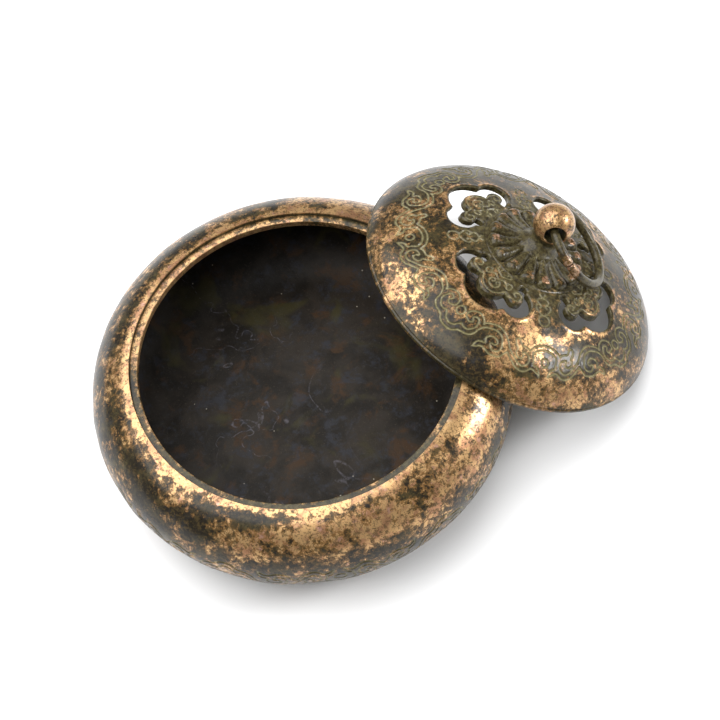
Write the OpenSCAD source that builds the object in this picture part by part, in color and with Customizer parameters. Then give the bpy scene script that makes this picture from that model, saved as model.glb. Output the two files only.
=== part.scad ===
// Low round lidded bronze pot of inkwell size: a squat bowl with a rebated mouth,
// and a pierced domed lid with a flower boss, a ball knob and a loose ring.
// The lid lies off the bowl, leaning on the edge of the mouth and on the floor.
// Origin: centre of the foot's underside. +Z is up, +X is the way the lid leans.

/* [Bowl] */
// Largest radius of the bowl, at the belly
belly_r = 65; // [62:0.5:68]
// Height of the belly's widest line above the floor
belly_z = 24.85; // [24.5:0.05:26]
// Rounding radius of the shoulder, above the belly
shoulder_round = 18; // [17.5:0.1:18.5]
// Rounding radius of the lower wall, below the belly
lower_round = 21; // [20:0.5:22]
// Thickness of the bowl's wall
bowl_wall = 3; // [2.5:0.1:3.5]
// Radius of the mouth's upper edge
mouth_r = 50.75; // [50:0.05:51.5]

/* [Seat ring] */
// Depth of the lid's seat below the mouth's upper edge
seat_drop = 1.4; // [1:0.1:2]
// Inner radius of the seat ring, the clear mouth
seat_r = 48.4; // [47.5:0.1:49]
// Thickness of the seat ring
seat_thick = 2.6; // [2.2:0.1:3]

/* [Foot ring] */
// Outer radius of the foot ring on the floor
foot_r = 43.5; // [41:0.5:44]
// Radial width of the foot ring
foot_w = 5; // [3:0.5:7]

/* [Lid] */
// Outer radius of the lid's rim
lid_r = 49.2; // [48.9:0.1:49.6]
// Height of the lid's dome above its rim's underside
dome_h = 18.6; // [17:0.1:20]
// Thickness of the lid's wall
lid_wall = 2.1; // [1.8:0.1:2.4]
// Turn of the four openings about the lid's axis, in degrees
opening_turn = 26.5; // [0:0.1:90]

/* [Boss, knob and ring] */
// Radius of the flower boss over its petal tips
boss_r = 16.6; // [15:0.1:17]
// Number of petals
petals = 16; // [12:1:18]
// Turn of the first petal about the lid's axis, in degrees
petal_turn = 4.5; // [0:0.1:22]
// Radius of the ball knob
ball_r = 6.4; // [6:0.1:7]
// Height of the ball's centre above the rim's underside
ball_z = 29.9; // [29:0.1:31]
// Radius of the hole through the ball
eye_r = 3.1; // [2.9:0.1:3.3]
// Mean radius of the ring
ring_r = 12.75; // [12.5:0.05:13]
// Radius of the ring's wire
wire_r = 1.45; // [1.3:0.05:1.5]
// Slope of the ring below the lid's own level, in degrees
ring_droop = 27.5; // [20:0.5:27.5]
// Turn of the ring's slope about the lid's axis, in degrees
ring_turn = -26.4; // [-90:0.1:90]

/* [Lid off the bowl] */
// Slope of the leaning lid, in degrees
lean = 30.8; // [30.8:0.1:31.2]
// Distance from the bowl's axis to the middle of the leaning lid's rim
lid_x = 71.9; // [71.9:0.05:73]
// Turn of the lean away from the line between bowl and lid, in degrees
lean_turn = -2.8; // [-4:0.1:0]

/* [Hidden] */

$fn = 96;
over = 1;

// Bowl: centres of the two wall arcs, and the heights that follow from them
shoulder_c = belly_r - shoulder_round;
lower_c = belly_r - lower_round;
base_z = belly_z - lower_round;
mouth_z = belly_z + sqrt(pow(shoulder_round, 2) - pow(mouth_r - shoulder_c, 2));
seat_z = mouth_z - seat_drop;
wall_step = 6;

// Lid: the dome is half an ellipse, its centre a little below the rim's underside
dome_drop = 0.7;
dome_a = lid_r + 0.1;
dome_b = dome_h + dome_drop;
rim_h = 2.5;
dome_step = 5;
rivet_r = 2.5;
rivet_gap = 0.05;
washer_r = 5.2;
washer_h = 1.2;
spot_z = dome_h - lid_wall + 0.2;
head_h = 1.2;

// Boss and neck heights in the lid's frame
boss_top = dome_h + 2.7;
floor_gap = 0.1;
lid_z = (lid_r - 0.3) * sin(lean) + floor_gap;

// Points on an arc about [cx, cz], from angle a0 to a1
function arc(cx, cz, r, a0, a1, step) =
    let (n = max(2, ceil(abs(a1 - a0) / step)))
    [for (i = [0:n]) let (a = a0 + (a1 - a0) * i / n) [cx + r * cos(a), cz + r * sin(a)]];

// Points on the dome's ellipse, thinned inwards by t, from height z0 to the axis
function dome_line(t, z0) =
    let (a = dome_a - t, b = dome_b - t, s = asin((z0 + dome_drop) / b))
    let (n = ceil((90 - s) / dome_step))
    [for (i = [0:n]) let (q = s + (90 - s) * i / n) [i == n ? 0 : a * cos(q), b * sin(q) - dome_drop]];

function reversed(list) = [for (i = [len(list) - 1:-1:0]) list[i]];

// Places its children on the leaning lid
module on_lid() {
    translate([lid_x, 0, lid_z]) rotate([0, lean, lean_turn]) children();
}

// Bowl, cast in one: flat base, round lower wall, rounder shoulder, open mouth
module bowl_shell() {
    inner_top = acos((mouth_r - shoulder_c) / (shoulder_round - bowl_wall));
    outer_top = acos((mouth_r - shoulder_c) / shoulder_round);
    outside = concat([[0, base_z]], arc(lower_c, belly_z, lower_round, -90, 0, wall_step),
        arc(shoulder_c, belly_z, shoulder_round, wall_step, outer_top, wall_step));
    inside = concat(arc(shoulder_c, belly_z, shoulder_round - bowl_wall, inner_top, 0, wall_step),
        arc(lower_c, belly_z, lower_round - bowl_wall, -wall_step, -90, wall_step),
        [[0, base_z + bowl_wall]]);
    color("darkgoldenrod") rotate_extrude() polygon(concat(outside, inside));
}

// Ring let into the mouth: its upper face is the lid's seat
module seat_ring() {
    color("peru") translate([0, 0, seat_z - seat_thick]) difference() {
        cylinder(h = seat_thick, r = mouth_r);
        translate([0, 0, -over]) cylinder(h = seat_thick + 2 * over, r = seat_r);
    }
}

// Low foot ring under the flat base
module foot_ring() {
    top_r = foot_r - 1;
    bead = 0.8;
    color("saddlebrown") rotate_extrude() polygon([
        [foot_r - foot_w, 0], [foot_r - bead, 0], [foot_r, bead], [foot_r, 2 * bead],
        [top_r, 3.5 * bead], [top_r, base_z], [foot_r - foot_w, base_z]]);
}

// One cloud-shaped slot, cut down through the dome round its tongue
module cloud_slot(low, high) {
    h = high - low;
    crown_y = 24.3;
    crown_r = 8.2;
    lobe = [9.1, 22.7, 4.9];
    tongue_y = 22.9;
    tongue_r = 4.9;
    tip = [7.8, 21.6, 2.5];
    root = [6.6, 12, 21.6];
    end_hole = [7.8, 17.5, 1.2];
    translate([0, 0, low]) {
        difference() {
            union() {
                translate([0, crown_y, 0]) cylinder(h = h, r = crown_r);
                for (side = [-1, 1]) {
                    translate([side * lobe[0], lobe[1], 0]) cylinder(h = h, r = lobe[2]);
                }
            }
            translate([0, tongue_y, -over]) cylinder(h = h + 2 * over, r = tongue_r);
            for (side = [-1, 1]) {
                translate([side * tip[0], tip[1], -over]) cylinder(h = h + 2 * over, r = tip[2]);
            }
            translate([-root[0], root[1], -over]) cube([2 * root[0], root[2] - root[1], h + 2 * over]);
        }
        for (side = [-1, 1]) {
            translate([side * end_hole[0], end_hole[1], 0]) cylinder(h = h, r = end_hole[2]);
        }
    }
}

// Solid under the dome's outer face, used to fit the boss to it
module dome_block() {
    rotate_extrude() polygon(concat([[0, 0]], [[dome_line(0, rim_h)[0][0], 0]], dome_line(0, rim_h)));
}

// Pierced domed lid with a stepped rim
module lid_dome() {
    inner = dome_line(lid_wall, 0);
    rim = [[lid_r - 0.3, 0], [lid_r, 0.3], [lid_r, 1.1], [lid_r - 0.45, 1.5], [lid_r - 0.2, 1.9]];
    color("goldenrod") on_lid() difference() {
        rotate_extrude() polygon(concat(rim, dome_line(0, rim_h), reversed(inner)));
        for (k = [0:3]) {
            rotate([0, 0, opening_turn + 90 * k - 90]) cloud_slot(rim_h, dome_h + over);
        }
        cylinder(h = 2 * dome_h, r = rivet_r + rivet_gap);
        translate([0, 0, spot_z - washer_h]) cylinder(h = washer_h, r = washer_r + 0.1);
    }
}

// Flower boss: radiating petals with round tips on a low disc that fits the dome
module flower_boss() {
    bead_r = 1.9;
    root_r = 6.5;
    tip_at = boss_r - bead_r;
    disc_r = boss_r - 2.2;
    tip_z = dome_h - 0.6;
    color("olive") on_lid() difference() {
        union() {
            translate([0, 0, dome_h - 2]) cylinder(h = boss_top - dome_h + 2, r = root_r);
            translate([0, 0, dome_h - 2]) cylinder(h = 3, r1 = disc_r + 0.4, r2 = disc_r - 2);
            for (k = [0:petals - 1]) {
                rotate([0, 0, petal_turn + 360 * k / petals]) {
                    translate([tip_at, 0, tip_z]) sphere(r = bead_r, $fn = 24);
                    translate([root_r - 1, 0, boss_top - 1.1])
                        rotate([0, 90 + atan((boss_top - 1.1 - tip_z) / (tip_at - root_r + 1)), 0])
                        cylinder(h = tip_at - root_r + 1, r1 = 1, r2 = 1.5, $fn = 24);
                }
            }
        }
        dome_block();
        translate([0, 0, rim_h]) cylinder(h = 2 * dome_h, r = rivet_r + rivet_gap);
    }
}

// Ball knob with its eye, neck and the rivet that runs down through the lid
module ball_knob() {
    neck = [[0, boss_top], [5.6, boss_top], [4.7, boss_top + 0.7], [4.15, boss_top + 1.6],
        [3.95, boss_top + 2.6], [4.05, boss_top + 3.4], [0, boss_top + 5]];
    eye_slot = 1.5 * ball_r;
    color("darkkhaki") on_lid() {
        difference() {
            union() {
                translate([0, 0, ball_z]) sphere(r = ball_r);
                rotate_extrude() polygon(neck);
                translate([0, 0, spot_z - washer_h]) cylinder(h = boss_top - spot_z + washer_h + 0.5, r = rivet_r);
                translate([0, 0, spot_z - washer_h - head_h]) cylinder(h = head_h, r1 = 2.9, r2 = 3.7);
            }
            translate([0, 0, ball_z]) rotate([0, 0, ring_turn]) rotate([90, 0, 0])
                cylinder(h = 2 * eye_slot, r = eye_r, center = true);
        }
    }
}

// Washer under the lid, held by the rivet's head
module rivet_washer() {
    color("sienna") on_lid() translate([0, 0, spot_z - washer_h]) difference() {
        cylinder(h = washer_h, r = washer_r);
        translate([0, 0, -over]) cylinder(h = washer_h + 2 * over, r = rivet_r + rivet_gap);
    }
}

// Loose ring of round wire through the eye, its two ends meeting at a fine split
module knob_ring() {
    split = 0.3;
    split_at = -112;
    color("darkolivegreen") on_lid() translate([0, 0, ball_z]) rotate([0, 0, ring_turn])
        rotate([0, ring_droop, 0]) translate([ring_r - 0.7, 0, 0]) difference() {
            rotate_extrude() translate([ring_r, 0]) circle(r = wire_r);
            rotate([0, 0, split_at]) translate([0, -split / 2, -2 * wire_r])
                cube([2 * ring_r, split, 4 * wire_r]);
        }
}

bowl_shell();
seat_ring();
foot_ring();
lid_dome();
flower_boss();
ball_knob();
rivet_washer();
knob_ring();
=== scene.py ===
"""A low round bronze pot of inkwell size, with its pierced lid leaning off the mouth.

Each piece is worked out in millimetres, in the bowl's own frame or in the lid's,
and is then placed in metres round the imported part. Engraved lines, cut slots,
petals, the eye of the knob and the turned edges are all real surface.
"""
import logging
import math
from dataclasses import dataclass, field
from enum import Enum
from typing import Sequence

import bmesh
import bpy
import numpy as np
from mathutils import Matrix, Vector, kdtree
from mathutils.geometry import delaunay_2d_cdt


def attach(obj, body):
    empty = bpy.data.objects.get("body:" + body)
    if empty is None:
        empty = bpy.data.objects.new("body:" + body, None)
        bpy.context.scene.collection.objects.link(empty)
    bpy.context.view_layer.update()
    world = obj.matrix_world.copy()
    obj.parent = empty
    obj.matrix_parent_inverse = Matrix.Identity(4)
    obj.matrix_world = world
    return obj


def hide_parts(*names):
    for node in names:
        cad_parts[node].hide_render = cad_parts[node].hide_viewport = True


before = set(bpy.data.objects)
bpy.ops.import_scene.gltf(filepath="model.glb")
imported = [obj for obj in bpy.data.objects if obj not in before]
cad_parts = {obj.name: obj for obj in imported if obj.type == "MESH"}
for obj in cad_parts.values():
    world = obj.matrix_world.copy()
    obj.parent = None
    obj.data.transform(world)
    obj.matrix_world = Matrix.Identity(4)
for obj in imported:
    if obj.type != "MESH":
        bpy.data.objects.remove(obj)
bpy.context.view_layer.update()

LOG = logging.getLogger("bronze_pot")
MM = 0.001
Faces = list[tuple[int, ...]]
Fields = dict[str, np.ndarray]


class Body(Enum):
    """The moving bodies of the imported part."""

    BOWL = "bowl"
    LID = "lid"
    RING = "ring"


class Layer(Enum):
    """Point values that a mesh hands to its finish."""

    GROOVE = "groove"
    GRIME = "grime"
    # Rubbed wear; on the flower boss this layer also carries painted highlight on the petal tips and painted shade
    # between the petals.
    POLISH_AND_PAINTED_LIGHT = "polish"
    INNER = "inner"


# ---------------------------------------------------------------- placing and shaping


@dataclass(frozen=True)
class Placement:
    """Where a piece's own millimetre frame lies in the part's frame."""

    shift: tuple[float, float, float] = (0.0, 0.0, 0.0)
    lean: float = 0.0
    lean_turn: float = 0.0

    def turn(self) -> np.ndarray:
        """Returns the turn from the piece's frame, as a 3 by 3 matrix."""
        c, s = math.cos(self.lean), math.sin(self.lean)
        a, b = math.cos(self.lean_turn), math.sin(self.lean_turn)
        tilt = np.array([[c, 0.0, s], [0.0, 1.0, 0.0], [-s, 0.0, c]])
        return np.array([[a, -b, 0.0], [b, a, 0.0], [0.0, 0.0, 1.0]]) @ tilt

    def world(self, points: np.ndarray) -> np.ndarray:
        """Places points.

        Args:
            points: Points in the piece's frame, in millimetres.

        Returns:
            The points in the part's frame, in metres.
        """
        return (points @ self.turn().T + np.array(self.shift)) * MM


@dataclass(frozen=True)
class Waves:
    """Gentle unevenness of a hand-finished casting, as a sum of plane waves."""

    length: float = 14.0
    height: float = 0.05
    seed: int = 1
    count: int = 9

    def at(self, points: np.ndarray) -> np.ndarray:
        """Measures the unevenness.

        Args:
            points: Points in millimetres, one a row.

        Returns:
            The height of the surface above its true shape, in millimetres.
        """
        rng = np.random.default_rng(self.seed)
        total = np.zeros(len(points))
        for _ in range(self.count):
            way = rng.normal(size=3)
            way /= np.linalg.norm(way)
            size = self.length * rng.uniform(0.55, 1.7)
            total += np.sin(points @ way * (2 * math.pi / size) + rng.uniform(0, 2 * math.pi))
        return total * self.height / math.sqrt(self.count)


def step_up(value: np.ndarray, low: float, high: float) -> np.ndarray:
    """Rises smoothly from 0 to 1.

    Args:
        value: Values to grade.
        low: Where the rise starts.
        high: Where it ends.

    Returns:
        The graded values.
    """
    t = np.clip((value - low) / (high - low), 0.0, 1.0)
    return t * t * (3.0 - 2.0 * t)


def blob(across: np.ndarray, along: np.ndarray, spot: Sequence[float]) -> np.ndarray:
    """Makes a soft round patch.

    Args:
        across: First coordinate of each point.
        along: Second coordinate of each point.
        spot: Centre, both half sizes and strength of the patch.

    Returns:
        The patch's strength at each point.
    """
    a, b, wide, tall, power = spot
    return power * np.exp(-(((across - a) / wide) ** 2) - ((along - b) / tall) ** 2)


def turned(angle: np.ndarray, centre: float) -> np.ndarray:
    """Measures angles from a centre, in degrees.

    Args:
        angle: Angles in degrees.
        centre: The angle to measure from.

    Returns:
        The differences, from -180 to 180.
    """
    return (angle - centre + 180.0) % 360.0 - 180.0


def resample(line: np.ndarray, step: float, closed: bool = False) -> np.ndarray:
    """Places points at even steps along a line.

    Args:
        line: The line's points.
        step: Wanted spacing.
        closed: Whether the line runs back to its start.

    Returns:
        The evenly spaced points; a closed line doesn't repeat its first.
    """
    if closed:
        line = np.vstack([line, line[:1]])
    run = np.concatenate([[0.0], np.cumsum(np.linalg.norm(np.diff(line, axis=0), axis=1))])
    count = max(2, int(round(run[-1] / step)))
    marks = np.linspace(0.0, run[-1], count + 1)
    if closed:
        marks = marks[:-1]
    return np.column_stack([np.interp(marks, run, line[:, i]) for i in range(line.shape[1])])


def spline(knots: np.ndarray, parts: int = 8) -> np.ndarray:
    """Draws a smooth line through knots.

    Args:
        knots: Points that the line passes through.
        parts: Points on each span.

    Returns:
        The line's points.
    """
    p = np.vstack([2 * knots[0] - knots[1], knots, 2 * knots[-1] - knots[-2]])
    t = np.linspace(0.0, 1.0, parts, endpoint=False)[:, None]
    spans = []
    for a, b, c, d in zip(p[:-3], p[1:-2], p[2:-1], p[3:]):
        curve = 2 * b + (c - a) * t + (2 * a - 5 * b + 4 * c - d) * t**2
        spans.append(0.5 * (curve + (3 * b - a - 3 * c + d) * t**3))
    return np.vstack(spans + [knots[-1:]])


def arc(centre: tuple[float, float], radius: float, start: float, end: float, count: int) -> np.ndarray:
    """Draws an arc.

    Args:
        centre: The arc's centre.
        radius: Its radius.
        start: First angle, in degrees.
        end: Last angle, in degrees.
        count: Number of points.

    Returns:
        The arc's points.
    """
    a = np.radians(np.linspace(start, end, count))
    return np.column_stack([centre[0] + radius * np.cos(a), centre[1] + radius * np.sin(a)])


def rounded(corners: Sequence[tuple[float, float, float]], closed: bool, count: int = 5) -> np.ndarray:
    """Rounds the corners of a section.

    Args:
        corners: Each corner's radius from the axis, height and rounding.
        closed: Whether the section runs back to its start.
        count: Points on each rounding.

    Returns:
        The section's points.
    """
    pts = np.array([c[:2] for c in corners], dtype=float)
    last = len(pts) - 1
    out = []
    for i, (p, corner) in enumerate(zip(pts, corners)):
        if corner[2] <= 0 or (not closed and i in (0, last)):
            out.append(p[None])
            continue
        a, b = pts[i - 1], pts[(i + 1) % len(pts)]
        la, lb = np.linalg.norm(a - p), np.linalg.norm(b - p)
        r = min(corner[2], 0.45 * la, 0.45 * lb)
        s, e = p + (a - p) / la * r, p + (b - p) / lb * r
        t = np.linspace(0.0, 1.0, count)[:, None]
        out.append((1 - t) ** 2 * s + 2 * t * (1 - t) * p + t**2 * e)
    return np.vstack(out)


def level(start: float, end: float, height: float, rows: int) -> np.ndarray:
    """Makes a level run of a section.

    Args:
        start: Radius at its start.
        end: Radius at its end.
        height: Its height.
        rows: Number of points, both ends included.

    Returns:
        Its points, as radius and height.
    """
    return np.column_stack([np.linspace(start, end, rows), np.full(rows, height)])


def revolve(section: np.ndarray, segments: int, closed: bool) -> tuple[np.ndarray, Faces]:
    """Turns a section round the upright axis.

    Args:
        section: Points as radius and height.
        segments: Steps round the axis.
        closed: Whether the section's last point joins its first.

    Returns:
        The points and the faces; a point on the axis becomes a closed pole.
    """
    angle = np.linspace(0.0, 2 * math.pi, segments, endpoint=False)
    points, rows = [], []
    total = 0
    for r, z in section:
        if r < 1e-6:
            points.append(np.array([[0.0, 0.0, z]]))
            rows.append([total] * segments)
            total += 1
        else:
            points.append(np.column_stack([r * np.cos(angle), r * np.sin(angle), np.full(segments, z)]))
            rows.append(list(range(total, total + segments)))
            total += segments
    faces: Faces = []
    pairs = list(zip(rows, rows[1:])) + ([(rows[-1], rows[0])] if closed else [])
    for low, high in pairs:
        faces += strip(low, high)
    return np.vstack(points), faces


def strip(low: Sequence[int], high: Sequence[int]) -> Faces:
    """Joins two closed rows of points.

    Args:
        low: Point numbers of one row.
        high: Point numbers of the other, in step with the first.

    Returns:
        Faces between them; faces at a pole are triangles.
    """
    faces: Faces = []
    count = len(low)
    for i in range(count):
        j = (i + 1) % count
        quad = (low[i], low[j], high[j], high[i])
        face = tuple(dict.fromkeys(quad))
        if len(face) > 2:
            faces.append(face)
    return faces


def solid(name: str, points: np.ndarray, faces: Faces, place: Placement, fields: Fields | None = None,
          crease: float = 40.0) -> bpy.types.Object:
    """Makes a closed piece from points and faces.

    Args:
        name: The piece's name.
        points: Its points in its own frame, in millimetres.
        faces: Its faces.
        place: Where its frame lies.
        fields: Values on its points, by layer name.
        crease: Angle past which an edge stays sharp, in degrees.

    Returns:
        The object, at the origin with its place in its mesh.
    """
    mesh = bpy.data.meshes.new(name)
    mesh.from_pydata(place.world(points).tolist(), [], faces)
    for layer in Layer:
        values = (fields or {}).get(layer.value, np.zeros(len(points)))
        mesh.attributes.new(layer.value, "FLOAT", "POINT").data.foreach_set("value", values.astype(np.float32))
    bm = bmesh.new()
    bm.from_mesh(mesh)
    bmesh.ops.remove_doubles(bm, verts=bm.verts, dist=1e-7)
    bmesh.ops.recalc_face_normals(bm, faces=bm.faces)
    bm.to_mesh(mesh)
    bm.free()
    smooth_faces(mesh, crease)
    piece = bpy.data.objects.new(name, mesh)
    bpy.context.scene.collection.objects.link(piece)
    return piece


def smooth_faces(mesh: bpy.types.Mesh, crease: float) -> None:
    """Shades a mesh smooth, apart from its sharp edges.

    Args:
        mesh: The mesh to shade.
        crease: Angle past which an edge stays sharp, in degrees.
    """
    mesh.polygons.foreach_set("use_smooth", [True] * len(mesh.polygons))
    mesh.set_sharp_from_angle(angle=math.radians(crease))
    mesh.update()


def baked(piece: bpy.types.Object, name: str, crease: float = 40.0) -> bpy.types.Object:
    """Turns a piece with live modifiers into a plain mesh.

    Args:
        piece: The object to evaluate; it is removed.
        name: The new piece's name.
        crease: Angle past which an edge stays sharp, in degrees.

    Returns:
        The plain piece.
    """
    bpy.context.view_layer.update()
    graph = bpy.context.evaluated_depsgraph_get()
    mesh = bpy.data.meshes.new_from_object(piece.evaluated_get(graph))
    bpy.data.objects.remove(piece)
    mesh.name = name
    smooth_faces(mesh, crease)
    plain = bpy.data.objects.new(name, mesh)
    bpy.context.scene.collection.objects.link(plain)
    return plain


def skinned(rough: bpy.types.Object, name: str, cell: float, rounds: int) -> bpy.types.Object:
    """Joins a rough shape's bodies under one eased skin.

    Args:
        rough: The shape, whose bodies may overlap.
        name: The finished piece's name.
        cell: Size of the skin's mesh, in millimetres.
        rounds: How often the skin is eased.

    Returns:
        The finished piece.
    """
    skin = rough.modifiers.new("skin", "REMESH")
    skin.mode = "VOXEL"
    skin.voxel_size = cell * MM
    ease = rough.modifiers.new("ease", "SMOOTH")
    ease.factor = 0.5
    ease.iterations = rounds
    return baked(rough, name, 60.0)


def mesh_points(mesh: bpy.types.Mesh) -> np.ndarray:
    """Reads a mesh's points.

    Args:
        mesh: The mesh to read.

    Returns:
        Its points, in metres.
    """
    flat = np.empty(3 * len(mesh.vertices))
    mesh.vertices.foreach_get("co", flat)
    return flat.reshape(-1, 3)


def set_layer(mesh: bpy.types.Mesh, layer: Layer, values: np.ndarray) -> None:
    """Writes one value on each point.

    Args:
        mesh: The mesh to write to.
        layer: Which layer.
        values: One value a point.
    """
    found = mesh.attributes.get(layer.value)
    if found is None:
        found = mesh.attributes.new(layer.value, "FLOAT", "POINT")
    found.data.foreach_set("value", values.astype(np.float32))


# ---------------------------------------------------------------- engraved sheets


class Engraving:
    """Lines cut into a sheet, with a way to ask how far a point lies from them."""

    def __init__(self, lines: Sequence[np.ndarray], width: float, depth: float) -> None:
        """Lays out the lines.

        Args:
            lines: The cut lines, in the sheet's plane.
            width: Half width of a cut, in millimetres.
            depth: Depth of a cut, in millimetres.
        """
        self.lines = [resample(line, 0.3) for line in lines]
        self.width = width
        self.depth = depth
        marks = np.vstack([resample(line, 0.08) for line in lines])
        self.tree = kdtree.KDTree(len(marks))
        for i, (x, y) in enumerate(marks):
            self.tree.insert((x, y, 0.0), i)
        self.tree.balance()

    def distance(self, points: np.ndarray) -> np.ndarray:
        """Measures distances to the nearest cut.

        Args:
            points: Points in the sheet's plane.

        Returns:
            Their distances, in millimetres.
        """
        find = self.tree.find
        return np.array([find((x, y, 0.0))[2] for x, y in points])

    def relief(self, distance: np.ndarray) -> np.ndarray:
        """Gives the height of the engraved face.

        Args:
            distance: Distances to the nearest cut.

        Returns:
            Heights above the plain face: a round cut with a low burr beside it.
        """
        cut = np.clip(1.0 - (distance / self.width) ** 2, 0.0, 1.0) ** 1.3
        burr = np.exp(-(((distance - 1.45 * self.width) / (0.45 * self.width)) ** 2))
        return 0.14 * self.depth * burr - self.depth * cut

    def rows(self) -> np.ndarray:
        """Returns points along each cut and beside it, for the sheet to pass through."""
        out = []
        for line in self.lines:
            way = np.gradient(line, axis=0)
            way /= np.maximum(np.linalg.norm(way, axis=1)[:, None], 1e-9)
            side = np.column_stack([-way[:, 1], way[:, 0]])
            out += [line + side * off * self.width for off in (0.0, -0.55, 0.55, -1.05, 1.05, -1.7, 1.7)]
        return np.vstack(out)


def thin_out(points: np.ndarray, cell: float) -> np.ndarray:
    """Keeps one point in each small square.

    Args:
        points: Points in a plane, the ones to prefer first.
        cell: Size of a square.

    Returns:
        The points that are kept.
    """
    keys = np.round(points / cell).astype(np.int64)
    _, first = np.unique(keys[:, 0] * 1_000_003 + keys[:, 1], return_index=True)
    return points[np.sort(first)]


def honeycomb(low: tuple[float, float], high: tuple[float, float], pitch: float) -> np.ndarray:
    """Fills a box with evenly spread points.

    Args:
        low: Lowest corner.
        high: Highest corner.
        pitch: Spacing.

    Returns:
        The points, each second row moved by half the spacing.
    """
    xs = np.arange(low[0], high[0], pitch)
    ys = np.arange(low[1], high[1], pitch * 0.866)
    x, y = np.meshgrid(xs, ys)
    x[1::2] += pitch / 2
    return np.column_stack([x.ravel(), y.ravel()])


def inside_loop(points: np.ndarray, loop: np.ndarray) -> np.ndarray:
    """Tests whether points lie inside a closed line.

    Args:
        points: Points in the plane.
        loop: The closed line's points.

    Returns:
        True for each point inside.
    """
    x, y = points[:, 0], points[:, 1]
    within = np.zeros(len(points), dtype=bool)
    for (ax, ay), (bx, by) in zip(loop, np.roll(loop, -1, axis=0)):
        cross = (ay > y) != (by > y)
        at = (bx - ax) * (y - ay) / ((by - ay) or 1e-12) + ax
        within ^= cross & (x < at)
    return within


class Sheet:
    """A flat net of triangles that passes through given loops and points."""

    def __init__(self, loops: Sequence[np.ndarray], holes: Sequence[int], fill: np.ndarray) -> None:
        """Nets the sheet.

        Args:
            loops: Closed lines that the net follows.
            holes: Numbers of the loops that are holes.
            fill: Points between the loops.
        """
        cloud = np.vstack(list(loops) + [fill])
        edges, start = [], 0
        for loop in loops:
            count = len(loop)
            edges += [(start + i, start + (i + 1) % count) for i in range(count)]
            start += count
        found = delaunay_2d_cdt([Vector(p) for p in cloud.tolist()], edges, [], 0, 1e-6, True)
        self.points = np.array([tuple(v) for v in found[0]])
        home = {old: new for new, olds in enumerate(found[3]) for old in olds}
        self.loops, start = [], 0
        for loop in loops:
            self.loops.append([home[start + i] for i in range(len(loop))])
            start += len(loop)
        tris = np.array([f for f in found[2] if len(f) == 3])
        middle = self.points[tris].mean(axis=1)
        keep = np.ones(len(tris), dtype=bool)
        for number in holes:
            loop = loops[number]
            low, high = loop.min(axis=0), loop.max(axis=0)
            near = np.all((middle > low) & (middle < high), axis=1)
            keep[near] &= ~inside_loop(middle[near], loop)
        outer = loops[0]
        reach = np.linalg.norm(outer, axis=1).min() if 0 not in holes else 0.0
        edge = np.linalg.norm(middle, axis=1) > reach * 0.995
        if edge.any():
            keep[edge] &= inside_loop(middle[edge], outer)
        self.tris = tris[keep]


# ---------------------------------------------------------------- the scroll that is cut in lid and bowl


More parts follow.
